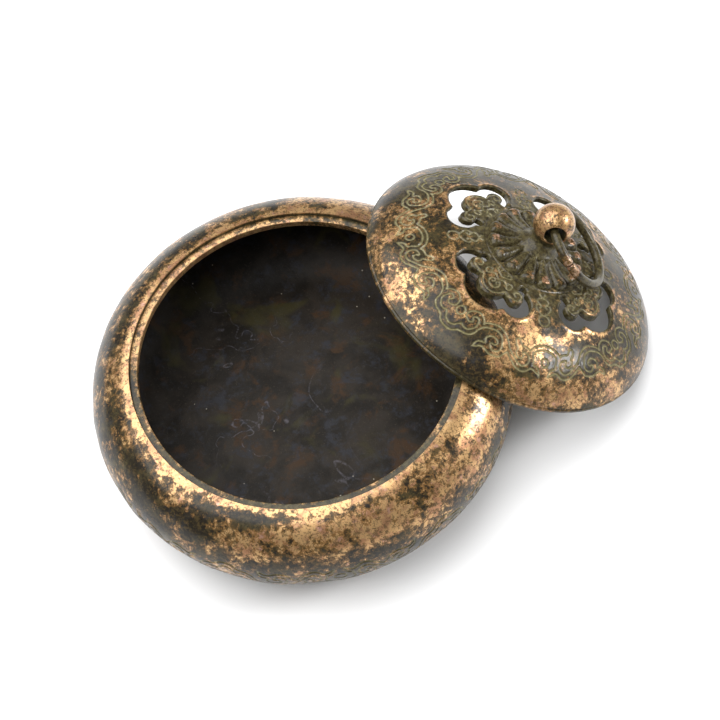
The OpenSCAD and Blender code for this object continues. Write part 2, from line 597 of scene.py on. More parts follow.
@dataclass(frozen=True)
class Scroll:
    """Half of one repeat of the scroll: degrees from its eye, and radius on the lid."""

    half_turn: float = 45.35
    eye: tuple[float, float, float] = (0.0, 39.6, 1.2)
    dot: tuple[float, float, float] = (45.35, 37.5, 1.3)
    low_r: float = 34.4
    high_r: float = 43.6

    def lines(self) -> list[np.ndarray]:
        """Returns the cut lines of the half repeat, as degrees and radius."""
        cup = ((2.0, 43.0), (2.5, 42.0), (3.5, 41.15), (5.2, 40.75), (5.35, 39.7), (5.95, 38.2),
               (5.3, 37.4), (3.9, 36.7), (1.4, 36.2), (0.0, 36.1))
        saucer = ((0.0, 34.75), (1.4, 34.8), (3.4, 35.1), (5.4, 35.65), (6.7, 36.4), (7.9, 37.4))
        near_arch = ((2.0, 43.0), (3.4, 42.55), (4.65, 42.1), (6.0, 41.9), (7.15, 42.4), (8.15, 42.9),
                     (9.8, 43.2), (11.4, 43.05), (13.15, 42.6), (14.4, 41.9), (15.65, 41.3),
                     (16.9, 40.55), (18.0, 40.0))
        far_arch = ((18.0, 40.0), (19.15, 40.9), (19.9, 41.65), (20.9, 42.3), (22.4, 42.5), (24.4, 42.7),
                    (26.4, 42.35), (28.15, 42.0), (29.65, 42.15), (30.65, 42.7), (31.9, 43.05))
        whorl = ((31.9, 43.05), (31.8, 42.2), (31.15, 41.35), (29.65, 40.9), (28.5, 40.8), (28.4, 40.35),
                 (28.85, 39.65), (28.6, 39.0), (27.5, 38.35), (25.9, 38.0), (24.4, 38.3), (23.5, 38.85),
                 (23.45, 39.45), (24.4, 39.9), (25.65, 39.85), (26.15, 40.3), (25.4, 40.95),
                 (24.5, 41.4), (23.3, 41.4), (22.0, 41.05), (21.15, 40.4), (20.95, 39.45), (21.5, 38.3),
                 (22.2, 37.35), (23.3, 36.6), (25.0, 36.15), (26.9, 36.0), (29.65, 36.45),
                 (31.65, 37.05), (32.9, 37.9), (33.85, 39.0), (34.2, 40.1), (35.35, 41.1),
                 (37.1, 41.75), (38.9, 41.9), (40.85, 42.3))
        cloud = ((40.85, 42.3), (41.85, 43.0), (43.35, 43.45), (45.35, 43.6))
        leaf = ((7.9, 37.4), (8.8, 36.95), (10.4, 36.65), (11.9, 36.6), (12.65, 36.1), (13.65, 35.2),
                (14.7, 34.8))
        hook = ((14.7, 34.8), (15.65, 35.35), (15.35, 36.35), (14.45, 37.2), (13.6, 37.9), (14.15, 38.5),
                (13.95, 39.2), (13.0, 39.9), (11.65, 40.15), (10.7, 39.8), (10.55, 39.15),
                (11.15, 38.5), (10.3, 38.25), (9.0, 38.45), (7.9, 39.0), (7.45, 39.85), (7.85, 40.9),
                (8.8, 41.55), (10.15, 41.9), (12.15, 41.6), (13.4, 40.9), (14.8, 40.2), (16.15, 39.5),
                (17.65, 38.55), (18.65, 37.55), (19.65, 36.7), (20.65, 35.95), (22.15, 35.3),
                (23.9, 34.8), (25.8, 34.45), (27.9, 34.65), (30.15, 35.1), (32.0, 35.65), (33.0, 36.5))
        curl = ((33.0, 36.5), (33.6, 35.7), (35.1, 34.9), (37.1, 34.45), (38.6, 34.5), (40.35, 35.0),
                (41.6, 35.8), (42.05, 36.8), (41.6, 37.8), (39.5, 38.45), (38.35, 38.2), (37.85, 37.7),
                (38.6, 37.0), (38.9, 36.6), (38.2, 36.3), (37.2, 36.1), (36.1, 36.3), (35.35, 37.2),
                (35.2, 38.3), (35.6, 39.1), (36.6, 39.9), (37.6, 40.45), (39.35, 40.6), (41.1, 40.2))
        crown = ((41.1, 40.2), (42.1, 40.9), (43.2, 41.8), (45.35, 42.3))
        parts = (cup, saucer, near_arch, far_arch, whorl, cloud, leaf, hook, curl, crown)
        return [spline(np.array(part), 5) for part in parts]

    def repeated(self, count: int, start: float) -> list[np.ndarray]:
        """Lays the scroll round a full turn.

        Args:
            count: Number of whole repeats.
            start: Angle of the first eye, in degrees.

        Returns:
            Lines as degrees and radius.
        """
        out = []
        squeeze = 180.0 / count / self.half_turn
        for k in range(count):
            centre = start + 360.0 * k / count
            for side in (-1.0, 1.0):
                for line in self.lines():
                    out.append(np.column_stack([centre + side * squeeze * line[:, 0], line[:, 1]]))
        return out

    def rings(self, count: int, start: float) -> list[tuple[float, float, float]]:
        """Lists the small rings of the scroll.

        Args:
            count: Number of whole repeats.
            start: Angle of the first eye, in degrees.

        Returns:
            Each ring's angle in degrees, radius on the lid and own radius.
        """
        out = []
        for k in range(count):
            centre = start + 360.0 * k / count
            out.append((centre, self.eye[1], self.eye[2]))
            out.append((centre + 180.0 / count, self.dot[1], self.dot[2]))
        return out


def polar(line: np.ndarray) -> np.ndarray:
    """Turns degrees and radius into plane points.

    Args:
        line: Points as degrees and radius.

    Returns:
        The points as x and y.
    """
    a = np.radians(line[:, 0])
    return np.column_stack([line[:, 1] * np.cos(a), line[:, 1] * np.sin(a)])


# ---------------------------------------------------------------- finishes


class Graph:
    """Adds and joins the nodes of one material."""

    def __init__(self, name: str) -> None:
        """Starts a material.

        Args:
            name: The material's name.
        """
        self.material = bpy.data.materials.new(name)
        self.material.use_nodes = True
        self.tree = self.material.node_tree
        self.shader = self.tree.nodes["Principled BSDF"]
        self.place = self.tree.nodes.new("ShaderNodeTexCoord").outputs["Object"]

    def put(self, socket: bpy.types.NodeSocket, value: object) -> None:
        """Sets or joins a socket.

        Args:
            socket: The input to fill.
            value: A number, a colour or another node's output.
        """
        if isinstance(value, bpy.types.NodeSocket):
            self.tree.links.new(value, socket)
        elif isinstance(value, tuple) and len(value) == 3 and socket.type == "RGBA":
            socket.default_value = (*value, 1.0)
        else:
            socket.default_value = value

    def noise(self, size: float, detail: float, rough: float, seed: float, warp: float = 0.0) -> bpy.types.NodeSocket:
        """Adds cloudy noise.

        Args:
            size: Size of its features, in millimetres.
            detail: Number of finer layers.
            rough: Weight of the finer layers.
            seed: Moves the pattern to another place.
            warp: How far the pattern is bent by itself.

        Returns:
            A value from 0 to 1.
        """
        node = self.tree.nodes.new("ShaderNodeTexNoise")
        node.noise_dimensions = "4D"
        self.put(node.inputs["Vector"], self.place)
        for key, value in (("W", seed), ("Scale", 1.0 / (size * MM)), ("Detail", detail),
                           ("Roughness", rough), ("Distortion", warp)):
            node.inputs[key].default_value = value
        return node.outputs["Fac"]

    def cells(self, size: float, stray: float = 1.0) -> bpy.types.NodeSocket:
        """Adds small round cells.

        Args:
            size: Size of a cell, in millimetres.
            stray: How irregular they lie.

        Returns:
            The distance from the nearest cell's middle, from 0 up.
        """
        node = self.tree.nodes.new("ShaderNodeTexVoronoi")
        self.put(node.inputs["Vector"], self.place)
        node.inputs["Scale"].default_value = 1.0 / (size * MM)
        node.inputs["Randomness"].default_value = stray
        return node.outputs["Distance"]

    def layer(self, layer: Layer) -> bpy.types.NodeSocket:
        """Reads a point value.

        Args:
            layer: Which layer.

        Returns:
            Its value.
        """
        node = self.tree.nodes.new("ShaderNodeAttribute")
        node.attribute_name = layer.value
        return node.outputs["Fac"]

    def math(self, action: str, a: object, b: object = 0.0, clamp: bool = False) -> bpy.types.NodeSocket:
        """Adds a sum.

        Args:
            action: Blender's name of the sum.
            a: First value.
            b: Second value.
            clamp: Whether the result is kept from 0 to 1.

        Returns:
            The result.
        """
        node = self.tree.nodes.new("ShaderNodeMath")
        node.operation = action
        node.use_clamp = clamp
        self.put(node.inputs[0], a)
        self.put(node.inputs[1], b)
        return node.outputs[0]

    def grade(self, value: object, low: object, high: object, start: float = 0.0,
              end: float = 1.0) -> bpy.types.NodeSocket:
        """Maps a range smoothly.

        Args:
            value: The value to map.
            low: Where the change starts.
            high: Where it ends.
            start: Result below low.
            end: Result above high.

        Returns:
            The mapped value.
        """
        node = self.tree.nodes.new("ShaderNodeMapRange")
        node.interpolation_type = "SMOOTHSTEP"
        for key, item in zip(("Value", "From Min", "From Max", "To Min", "To Max"), (value, low, high, start, end)):
            self.put(node.inputs[key], item)
        return node.outputs["Result"]

    def mix(self, share: object, a: object, b: object) -> bpy.types.NodeSocket:
        """Mixes two colours.

        Args:
            share: Share of the second.
            a: First colour.
            b: Second colour.

        Returns:
            The mixed colour.
        """
        node = self.tree.nodes.new("ShaderNodeMix")
        node.data_type = "RGBA"
        self.put(node.inputs[0], share)
        self.put(node.inputs[6], a)
        self.put(node.inputs[7], b)
        return node.outputs[2]

    def bump(self, height: object, depth: float, under: bpy.types.NodeSocket | None = None) -> bpy.types.NodeSocket:
        """Adds fine surface relief.

        Args:
            height: Height of the surface, from 0 to 1.
            depth: Its full depth, in millimetres.
            under: Relief that this one lies on.

        Returns:
            The bumped normal.
        """
        node = self.tree.nodes.new("ShaderNodeBump")
        node.inputs["Distance"].default_value = depth * MM
        self.put(node.inputs["Height"], height)
        if under is not None:
            self.put(node.inputs["Normal"], under)
        return node.outputs["Normal"]


Colour = tuple[float, float, float]


@dataclass(frozen=True)
class Patina:
    """Old bronze: a waxed dark skin, rubbed through to copper and gold, olive in the lows."""

    name: str
    bare: float = 0.0
    skin: Colour = (0.012, 0.009, 0.005)
    shadow: Colour = (0.05, 0.034, 0.013)
    olive: Colour = (0.062, 0.05, 0.02)
    brown: Colour = (0.17, 0.088, 0.028)
    gold: Colour = (0.56, 0.345, 0.155)
    copper: Colour = (0.36, 0.185, 0.095)
    blush: Colour = (0.47, 0.27, 0.2)
    pale: Colour = (0.74, 0.53, 0.31)
    grime_low: Colour = (0.045, 0.038, 0.015)
    grime_high: Colour = (0.17, 0.145, 0.068)
    fill: Colour = (0.17, 0.148, 0.07)
    fill_pale: Colour = (0.32, 0.29, 0.165)
    patch: float = 13.0
    speck: float = 1.5
    sheen: float = 0.31
    metal: float = 0.72
    dirt_share: float = 0.62
    wax: float = 0.26
    seed: float = 0.0
    lined: bool = False

    def rubbing(self, g: Graph, polish: object, grime: object) -> tuple[object, object, object]:
        """Works out how far the skin has been rubbed away.

        Args:
            g: The material's nodes.
            polish: Where the piece is handled; on the flower boss it also holds painted highlight on the petal tips
                and painted shade between the petals.
            grime: Where it is grimy.

        Returns:
            The rubbing in steps of its own spread, the middle noise and the fine noise.
        """
        wide = g.noise(self.patch, 3.0, 0.55, self.seed, 0.5)
        middle = g.noise(self.patch * 0.3, 4.0, 0.62, self.seed + 3.1, 0.4)
        fine = g.noise(self.speck, 5.0, 0.78, self.seed + 7.7, 0.25)
        total = g.math("MULTIPLY", g.math("SUBTRACT", wide, 0.5), 4.2)
        total = g.math("ADD", total, g.math("MULTIPLY", g.math("SUBTRACT", middle, 0.5), 3.4))
        total = g.math("ADD", total, g.math("MULTIPLY", g.math("SUBTRACT", fine, 0.5), 5.0))
        total = g.math("ADD", total, g.math("MULTIPLY", polish, 2.4))
        total = g.math("SUBTRACT", total, g.math("MULTIPLY", grime, 1.2))
        return g.math("ADD", total, self.bare), middle, fine

    def material(self) -> bpy.types.Material:
        """Builds the finish.

        Returns:
            The material.
        """
        g = Graph(self.name)
        groove, grime, polish, inner = (g.layer(item) for item in Layer)
        rub, middle, fine = self.rubbing(g, polish, grime)
        grain = g.noise(self.speck * 0.32, 3.0, 0.7, self.seed + 11.3)

        # The skin's own tones, from near black to olive and grey
        tone = g.noise(self.patch * 0.7, 3.0, 0.6, self.seed + 21.0, 0.5)
        olive = g.grade(g.math("ADD", tone, g.math("MULTIPLY", grime, 0.3)), 0.44, 0.64)
        cool = g.grade(g.noise(self.patch * 0.4, 3.0, 0.6, self.seed + 31.0, 0.3), 0.55, 0.7)
        skin = g.mix(g.math("MULTIPLY", cool, 0.6), self.skin, (0.026, 0.026, 0.027))
        skin = g.mix(g.math("MULTIPLY", olive, g.grade(fine, 0.36, 0.6)), skin, self.olive)

        # Metal tones, from copper to gold, with pinkish spots
        hue = g.noise(self.patch * 0.3, 4.0, 0.65, self.seed + 41.0, 0.4)
        metal = g.mix(g.grade(hue, 0.44, 0.6), self.gold, self.copper)
        blush = g.grade(g.cells(self.patch * 0.22), 0.34, 0.2)
        blush = g.math("MULTIPLY", blush, g.grade(hue, 0.5, 0.58))
        metal = g.mix(g.math("MULTIPLY", blush, 0.75), metal, self.blush)
        metal = g.mix(g.grade(rub, 1.5, 2.6, 0.0, 0.75), metal, self.pale)

        # Skin, then brown where it is thin, then metal, each with its own crisp edge
        thin = g.grade(rub, -0.6, -0.24)
        worn = g.grade(rub, -0.06, 0.22)
        face = g.mix(g.math("MULTIPLY", thin, 0.85), skin, self.brown)
        face = g.mix(worn, face, metal)
        fleck = g.noise(self.speck * 0.75, 4.0, 0.8, self.seed + 131.0, 0.3)
        fleck = g.math("MULTIPLY", g.grade(fleck, 0.51, 0.57), g.grade(rub, 1.9, 0.5, 0.25, 0.85))
        face = g.mix(fleck, face, self.shadow)
        pepper = g.grade(grain, 0.41, 0.35)
        face = g.mix(g.math("MULTIPLY", pepper, 0.72), face, self.skin)

        # Olive dirt that stays in the cuts and in the grimy parts
        dusty = g.math("MULTIPLY", grime, g.grade(middle, 0.4, 0.6, 0.15, self.dirt_share))
        dusty = g.math("MULTIPLY", dusty, g.grade(fine, 0.36, 0.54, 0.2, 1.0))
        face = g.mix(dusty, face, g.mix(g.grade(fine, 0.44, 0.62), self.grime_low, self.grime_high))
        cut = g.math("MULTIPLY", groove, g.grade(fine, 0.3, 0.46, 0.65, 1.0))
        dirt = g.math("ADD", cut, dusty, True)
        face = g.mix(cut, face, g.mix(g.grade(fine, 0.44, 0.66), self.fill, self.fill_pale))
        clear = g.math("MULTIPLY", g.math("SUBTRACT", 1.0, dirt), g.math("SUBTRACT", 1.0, fleck))
        shine = g.math("MULTIPLY", g.math("MULTIPLY", worn, clear), self.metal)
        rough = g.math("ADD", self.sheen, g.math("MULTIPLY", g.math("SUBTRACT", grain, 0.5), 0.3))
        rough = g.math("ADD", rough, g.math("MULTIPLY", dirt, 0.25))
        if self.lined:
            face = g.mix(inner, face, self.lining(g, fine, grain))
            shine = g.math("MULTIPLY", shine, g.math("SUBTRACT", 1.0, inner))
            rough = g.math("ADD", rough, g.math("MULTIPLY", inner, 0.2))
            g.put(g.shader.inputs["Coat Weight"], g.grade(inner, 0.0, 1.0, self.wax, 0.0))
        g.put(g.shader.inputs["Base Color"], face)
        g.put(g.shader.inputs["Metallic"], shine)
        g.put(g.shader.inputs["Roughness"], rough)
        g.shader.inputs["Specular IOR Level"].default_value = 0.14
        if not self.lined:
            g.shader.inputs["Coat Weight"].default_value = self.wax
        g.shader.inputs["Coat Roughness"].default_value = 0.17
        self.relief(g, rub, fine, grain)
        return g.material

    def relief(self, g: Graph, rub: object, fine: object, grain: object) -> None:
        """Adds the pits, the tool marks and the step at the edge of the skin.

        Args:
            g: The material's nodes.
            rub: How far the skin is rubbed away.
            fine: Fine noise.
            grain: Finest noise.
        """
        low = g.bump(g.noise(6.0, 2.0, 0.5, self.seed + 61.0), 0.12)
        step = g.math("MULTIPLY", g.grade(rub, -0.5, 0.3), 0.6)
        stepped = g.bump(g.math("SUBTRACT", fine, step), 0.05, low)
        pitted = g.bump(g.grade(g.cells(0.9), 0.0, 0.3), 0.014, stepped)
        g.put(g.shader.inputs["Normal"], g.bump(grain, 0.03, pitted))

    def lining(self, g: Graph, fine: object, grain: object) -> object:
        """Colours the unpolished inside.

        Args:
            g: The material's nodes.
            fine: Fine noise.
            grain: Finest noise.

        Returns:
            The colour of the inside.
        """
        cloud = g.noise(16.0, 4.0, 0.6, self.seed + 71.0, 0.6)
        rust = g.noise(9.0, 4.0, 0.65, self.seed + 81.0, 0.5)
        blue = g.noise(4.5, 4.0, 0.7, self.seed + 91.0, 0.3)
        moss = g.noise(19.0, 3.0, 0.6, self.seed + 99.0, 0.7)
        tint = g.mix(g.grade(cloud, 0.42, 0.6), (0.006, 0.004, 0.002), (0.017, 0.0125, 0.0085))
        tint = g.mix(g.grade(rust, 0.52, 0.66, 0.0, 0.75), tint, (0.036, 0.016, 0.004))
        tint = g.mix(g.grade(blue, 0.5, 0.66, 0.0, 0.7), tint, (0.018, 0.019, 0.025))
        tint = g.mix(g.grade(moss, 0.58, 0.7, 0.0, 0.7), tint, (0.032, 0.027, 0.006))
        tint = g.mix(g.grade(grain, 0.56, 0.68, 0.0, 0.35), tint, (0.06, 0.048, 0.036))
        tide = g.math("ABSOLUTE", g.math("SUBTRACT", g.noise(34.0, 3.0, 0.55, self.seed + 105.0, 0.8), 0.53))
        tide = g.math("MULTIPLY", g.grade(tide, 0.006, 0.0), g.grade(fine, 0.42, 0.6))
        tide = g.math("MULTIPLY", tide, g.grade(g.noise(40.0, 1.0, 0.5, self.seed + 120.0), 0.52, 0.6))
        tint = g.mix(g.math("MULTIPLY", tide, 0.34), tint, (0.17, 0.16, 0.19))
        dust = g.grade(g.cells(5.5), 0.055, 0.03)
        return g.mix(g.math("MULTIPLY", dust, 0.5), tint, (0.5, 0.45, 0.36))


@dataclass(frozen=True)
class Paper:
    """The pale sheet that the pot stands on."""

    tint: Colour = (0.9, 0.9, 0.9)

    def material(self) -> bpy.types.Material:
        """Builds the finish.

        Returns:
            The material.
        """
        g = Graph("pale_sheet")
        cloud = g.noise(400.0, 2.0, 0.5, 2.0)
        g.put(g.shader.inputs["Base Color"], g.mix(cloud, self.tint, (0.88, 0.88, 0.885)))
        g.put(g.shader.inputs["Roughness"], g.grade(g.noise(3.0, 2.0, 0.5, 5.0), 0.3, 0.7, 0.7, 0.8))
        g.shader.inputs["Specular IOR Level"].default_value = 0.15
        return g.material


def dress(piece: bpy.types.Object, finish: bpy.types.Material, body: Body, node: str) -> None:
    """Gives a piece its finish and its place in the part.

    Args:
        piece: The piece.
        finish: Its material.
        body: The body that it rides on.
        node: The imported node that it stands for.
    """
    piece.data.materials.clear()
    piece.data.materials.append(finish)
    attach(piece, body.value)
    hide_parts(node)
    LOG.info("%s: %d faces, on %s", piece.name, len(piece.data.polygons), body.value)


# ---------------------------------------------------------------- the bowl


@dataclass
class Bowl:
    """The cast bowl, the seat let into its mouth, and the foot ring under it."""

    belly_r: float = 65.0
    belly_z: float = 24.85
    shoulder: float = 18.0
    lower: float = 21.0
    wall: float = 3.0
    mouth_r: float = 50.75
    seat_drop: float = 1.4
    seat_r: float = 48.4
    seat_thick: float = 2.6
    foot_r: float = 43.5
    foot_w: float = 5.0
    segments: int = 384
    band_top: float = 4.6
    band_low: float = -10.2
    band_margin: float = 0.8
    band_start: float = 15.0
    repeats: int = 6
    place: Placement = field(default_factory=Placement)

    @property
    def shoulder_c(self) -> float:
        """Returns the distance of the shoulder arc's centre from the axis."""
        return self.belly_r - self.shoulder

    @property
    def lower_c(self) -> float:
        """Returns the distance of the lower arc's centre from the axis."""
        return self.belly_r - self.lower

    @property
    def base_z(self) -> float:
        """Returns the height of the base's underside."""
        return self.belly_z - self.lower

    @property
    def mouth_z(self) -> float:
        """Returns the height of the mouth's edge."""
        return self.belly_z + math.sqrt(self.shoulder**2 - (self.mouth_r - self.shoulder_c) ** 2)

    def on_section(self, run: np.ndarray) -> tuple[np.ndarray, np.ndarray, np.ndarray, np.ndarray]:
        """Follows the outer wall from the belly line.

        Args:
            run: Distance along the wall, upwards from the belly, in millimetres.

        Returns:
            Radius, height, and the two parts of the outward normal.
        """
        up = run >= 0
        size = np.where(up, self.shoulder, self.lower)
        centre = np.where(up, self.shoulder_c, self.lower_c)
        a = run / size
        return centre + size * np.cos(a), self.belly_z + size * np.sin(a), np.cos(a), np.sin(a)

    def band(self) -> tuple[np.ndarray, Faces, list[int], list[int], np.ndarray]:
        """Makes the engraved band round the belly.

        Returns:
            Points, faces, the top row, the bottom row and the depth of engraving at each point.
        """
        around = 2 * math.pi * self.belly_r
        scroll = Scroll()
        tall = (self.band_top - self.band_low - 2 * self.band_margin) / (scroll.high_r - scroll.low_r)

        def laid(line: np.ndarray) -> np.ndarray:
            """Lays a line of the scroll on the unrolled band.

            Args:
                line: Points as degrees and radius on the lid.

            Returns:
                The points as distance round the belly and along the wall.
            """
            run = self.band_low + self.band_margin + (line[:, 1] - scroll.low_r) * tall
            return np.column_stack([line[:, 0] / 360.0 * around, run])

        lines = [laid(line) for line in scroll.repeated(self.repeats, self.band_start)]
        for angle, radius, size in scroll.rings(self.repeats, self.band_start):
            middle = laid(np.array([[angle, radius]]))[0]
            lines.append(arc(tuple(middle), 1.45 * size, 0.0, 360.0, 40))
        lines = [line + [k * around, 0.0] for line in lines for k in (-1, 0, 1)]
        lines = [line for line in lines if line[:, 0].max() > -1.0 and line[:, 0].min() < around + 1.0]
        cuts = Engraving(lines, 0.42, 0.3)
        fill = np.vstack([cuts.rows(), honeycomb((0.0, self.band_low), (around, self.band_top), 1.3)])
        step = around / self.segments
        inside = (fill[:, 0] > 0.25) & (fill[:, 0] < around - 0.25)
        inside &= (fill[:, 1] > self.band_low + 0.3) & (fill[:, 1] < self.band_top - 0.3)
        fill = thin_out(fill[inside], 0.2)
        xs = np.arange(self.segments + 1) * step
        rise = np.linspace(self.band_low, self.band_top, 22)[1:-1]
        low = np.column_stack([xs, np.full(len(xs), self.band_low)])
        top = np.column_stack([xs[::-1], np.full(len(xs), self.band_top)])
        right = np.column_stack([np.full(len(rise), around), rise])
        left = np.column_stack([np.zeros(len(rise)), rise[::-1]])
        net = Sheet([np.vstack([low, right, top, left])], [], fill)
        flat = net.points
        ring = net.loops[0]
        count = self.segments + 1
        low_row = ring[: count - 1]
        top_row = ring[count + len(rise): 2 * count + len(rise)][::-1][: count - 1]
        wrapped = flat.copy()
        wrapped[:, 0] = np.where(np.abs(flat[:, 0] - around) < 1e-4, 0.0, flat[:, 0])
        gap = cuts.distance(wrapped)
        height = cuts.relief(gap)
        height *= step_up(flat[:, 1], self.band_low, self.band_low + 0.5)
        height *= 1.0 - step_up(flat[:, 1], self.band_top - 0.5, self.band_top)
        r, z, out, up = self.on_section(flat[:, 1])
        angle = wrapped[:, 0] / around * 2 * math.pi
        r, z = r + height * out, z + height * up
        points = np.column_stack([r * np.cos(angle), r * np.sin(angle), z])
        depth = np.clip(1.15 - gap / 0.42, 0.0, 1.0)
        return points, [tuple(t) for t in net.tris.tolist()], low_row, top_row, depth

    def shell(self) -> bpy.types.Object:
        """Makes the bowl's shell.

        Returns:
            The shell, closed, with its band engraved.
        """
        points, faces, low_row, top_row, depth = self.band()
        top_end = math.acos((self.mouth_r - self.shoulder_c) / self.shoulder) * self.shoulder
        rise = np.linspace(self.band_top, top_end - 0.12, 31)[1:]
        r, z, _, _ = self.on_section(rise)
        inner = self.shoulder - self.wall
        inner_top = math.degrees(math.acos((self.mouth_r - self.shoulder_c) / inner))
        flange_z = self.belly_z + inner * math.sin(math.radians(inner_top))
        lip = np.array([[self.mouth_r + 0.06, self.mouth_z - 0.01], [self.mouth_r, self.mouth_z - 0.1],
                        [self.mouth_r, self.mouth_z - 0.8], [self.mouth_r, flange_z]])
        under = arc((self.shoulder_c, self.belly_z), inner, inner_top, 0.0, 18)[1:]
        floor_in = arc((self.lower_c, self.belly_z), self.lower - self.wall, 0.0, -90.0, 16)[1:]
        floor = level(self.lower_c, 0.0, self.base_z + self.wall, 16)[1:]
        ledge = level(0.0, self.lower_c, self.base_z, 9)
        below = self.on_section(np.linspace(-self.lower * math.pi / 2, self.band_low, 16)[1:-1])
        first = np.vstack([np.column_stack([r, z]), lip, under, floor_in, floor])
        rest = np.vstack([ledge, np.column_stack(below[:2])])
        a_pts, a_faces = revolve(first, self.segments, False)
        b_pts, b_faces = revolve(rest, self.segments, False)
        base = len(points)
        faces += [tuple(i + base for i in f) for f in a_faces]
        faces += strip(top_row, range(base, base + self.segments))
        second = base + len(a_pts)
        faces += [tuple(i + second for i in f) for f in b_faces]
        last = second + len(b_pts) - self.segments
        faces += strip(range(last, last + self.segments), low_row)
        points = np.vstack([points, a_pts, b_pts])
        deep = np.concatenate([depth, np.zeros(len(a_pts) + len(b_pts))])
        radial = np.hypot(points[:, 0], points[:, 1])
        calm = 1.0 - step_up(points[:, 2], self.mouth_z - 6.0, self.mouth_z - 3.4)
        calm *= step_up(points[:, 2], self.base_z + 1.0, self.base_z + 6.0)
        uneven = Waves(17.0, 0.1, 3).at(points) * calm
        points[:, :2] *= (1.0 + uneven / np.maximum(radial, 20.0))[:, None]
        is_floor = (radial < 46.0) & (points[:, 2] > self.base_z + 1.0) & (points[:, 2] < self.base_z + 9.0)
        points[:, 2] += np.where(is_floor, Waves(11.0, 0.09, 5).at(points), 0.0)
        return solid("pot_bowl_shell", points, faces, self.place, self.wear(points, deep), 30.0)

    def wear(self, points: np.ndarray, deep: np.ndarray) -> Fields:
        """Says where the shell is rubbed and where it is grimy.

        Args:
            points: The shell's points, in millimetres.
            deep: Depth of engraving at each.

        Returns:
            The values of each layer.
        """
        angle = np.degrees(np.arctan2(points[:, 1], points[:, 0]))
        radial = np.hypot(points[:, 0], points[:, 1])
        height = points[:, 2] - self.belly_z
        up = height >= 0
        from_arc = np.where(up, np.hypot(radial - self.shoulder_c, height) - self.shoulder,
                            np.hypot(radial - self.lower_c, height) - self.lower)
        flat = ~up & (radial < self.lower_c)
        from_arc[flat] = -height[flat] - self.lower
        inside = (from_arc < -1.5) | (up & (radial < self.mouth_r - 0.3))
        section = np.degrees(np.arctan2(height, np.maximum(radial - self.shoulder_c, 0.1)))
        polish = np.zeros(len(points))
        for centre, level, wide, tall, power in RUBBED_BOWL:
            polish += blob(turned(angle, centre), section, (0.0, level, wide, tall, power))
        rim = step_up(points[:, 2], self.mouth_z - 0.9, self.mouth_z - 0.2) * (radial > self.mouth_r - 0.01)
        polish += 0.5 * rim
        polish[inside] = 0.0
        grime = 0.25 * step_up(-height, 2.0, 14.0)
        lip = (np.abs(radial - self.mouth_r) < 0.05) & (points[:, 2] < self.mouth_z - 0.5)
        grime = np.where(lip, 0.8, grime)
        return {Layer.GROOVE.value: deep * 0.8, Layer.GRIME.value: grime, Layer.POLISH_AND_PAINTED_LIGHT.value: polish,
                Layer.INNER.value: inside.astype(float)}

    def seat(self) -> bpy.types.Object:
        """Makes the seat ring.

        Returns:
            The ring, with softened edges.
        """
        top = self.mouth_z - self.seat_drop
        low = top - self.seat_thick
        section = rounded([(self.mouth_r - 0.02, top, 0.12), (self.mouth_r - 0.02, low, 0.2),
                           (self.seat_r, low, 0.4), (self.seat_r, top, 0.3),
                           (0.5 * (self.seat_r + self.mouth_r), top, 0.0)], True)
        points, faces = revolve(section, 360, True)
        inner = step_up(self.seat_r + 0.6 - np.hypot(points[:, 0], points[:, 1]), 0.0, 0.5)
        swell = Waves(9.0, 0.05, 8).at(points)
        points[:, :2] *= (1.0 - inner * np.abs(swell) / self.seat_r)[:, None]
        angle = np.degrees(np.arctan2(points[:, 1], points[:, 0]))
        gold = blob(turned(angle, 100.0), angle * 0.0, (0.0, 0.0, 60.0, 1.0, 0.5))
        fields = {Layer.POLISH_AND_PAINTED_LIGHT.value: gold - 0.1 + 0.3 * inner,
                  Layer.GRIME.value: np.full(len(points), 0.35) - 0.2 * gold}
        return solid("pot_seat_ring", points, faces, self.place, fields)

    def foot(self) -> bpy.types.Object:
        """Makes the foot ring.

        Returns:
            The ring, with a worn lower edge.
        """
        out, low = self.foot_r, self.foot_r - self.foot_w
        section = rounded([(low, 0.0, 0.5), (out - 0.8, 0.0, 0.4), (out, 0.8, 0.5), (out, 1.6, 0.5),
                           (out - 1.0, 2.8, 0.6), (out - 1.0, self.base_z, 0.1), (low, self.base_z, 0.1)],
                          True)
        points, faces = revolve(section, 240, True)
        worn = 1.0 - step_up(points[:, 2], 0.3, 1.4)
        fields = {Layer.POLISH_AND_PAINTED_LIGHT.value: 0.6 * worn - 0.3, Layer.GRIME.value: 0.4 * (1.0 - worn)}
        return solid("pot_foot_ring", points, faces, self.place, fields)

    def build(self) -> None:
        """Makes and dresses the bowl's pieces."""
        dress(self.shell(), BOWL_FINISH.material(), Body.BOWL, "bowl_shell")
        dress(self.seat(), SEAT_FINISH.material(), Body.BOWL, "seat_ring")
        dress(self.foot(), FOOT_FINISH.material(), Body.BOWL, "foot_ring")


# ---------------------------------------------------------------- the lid


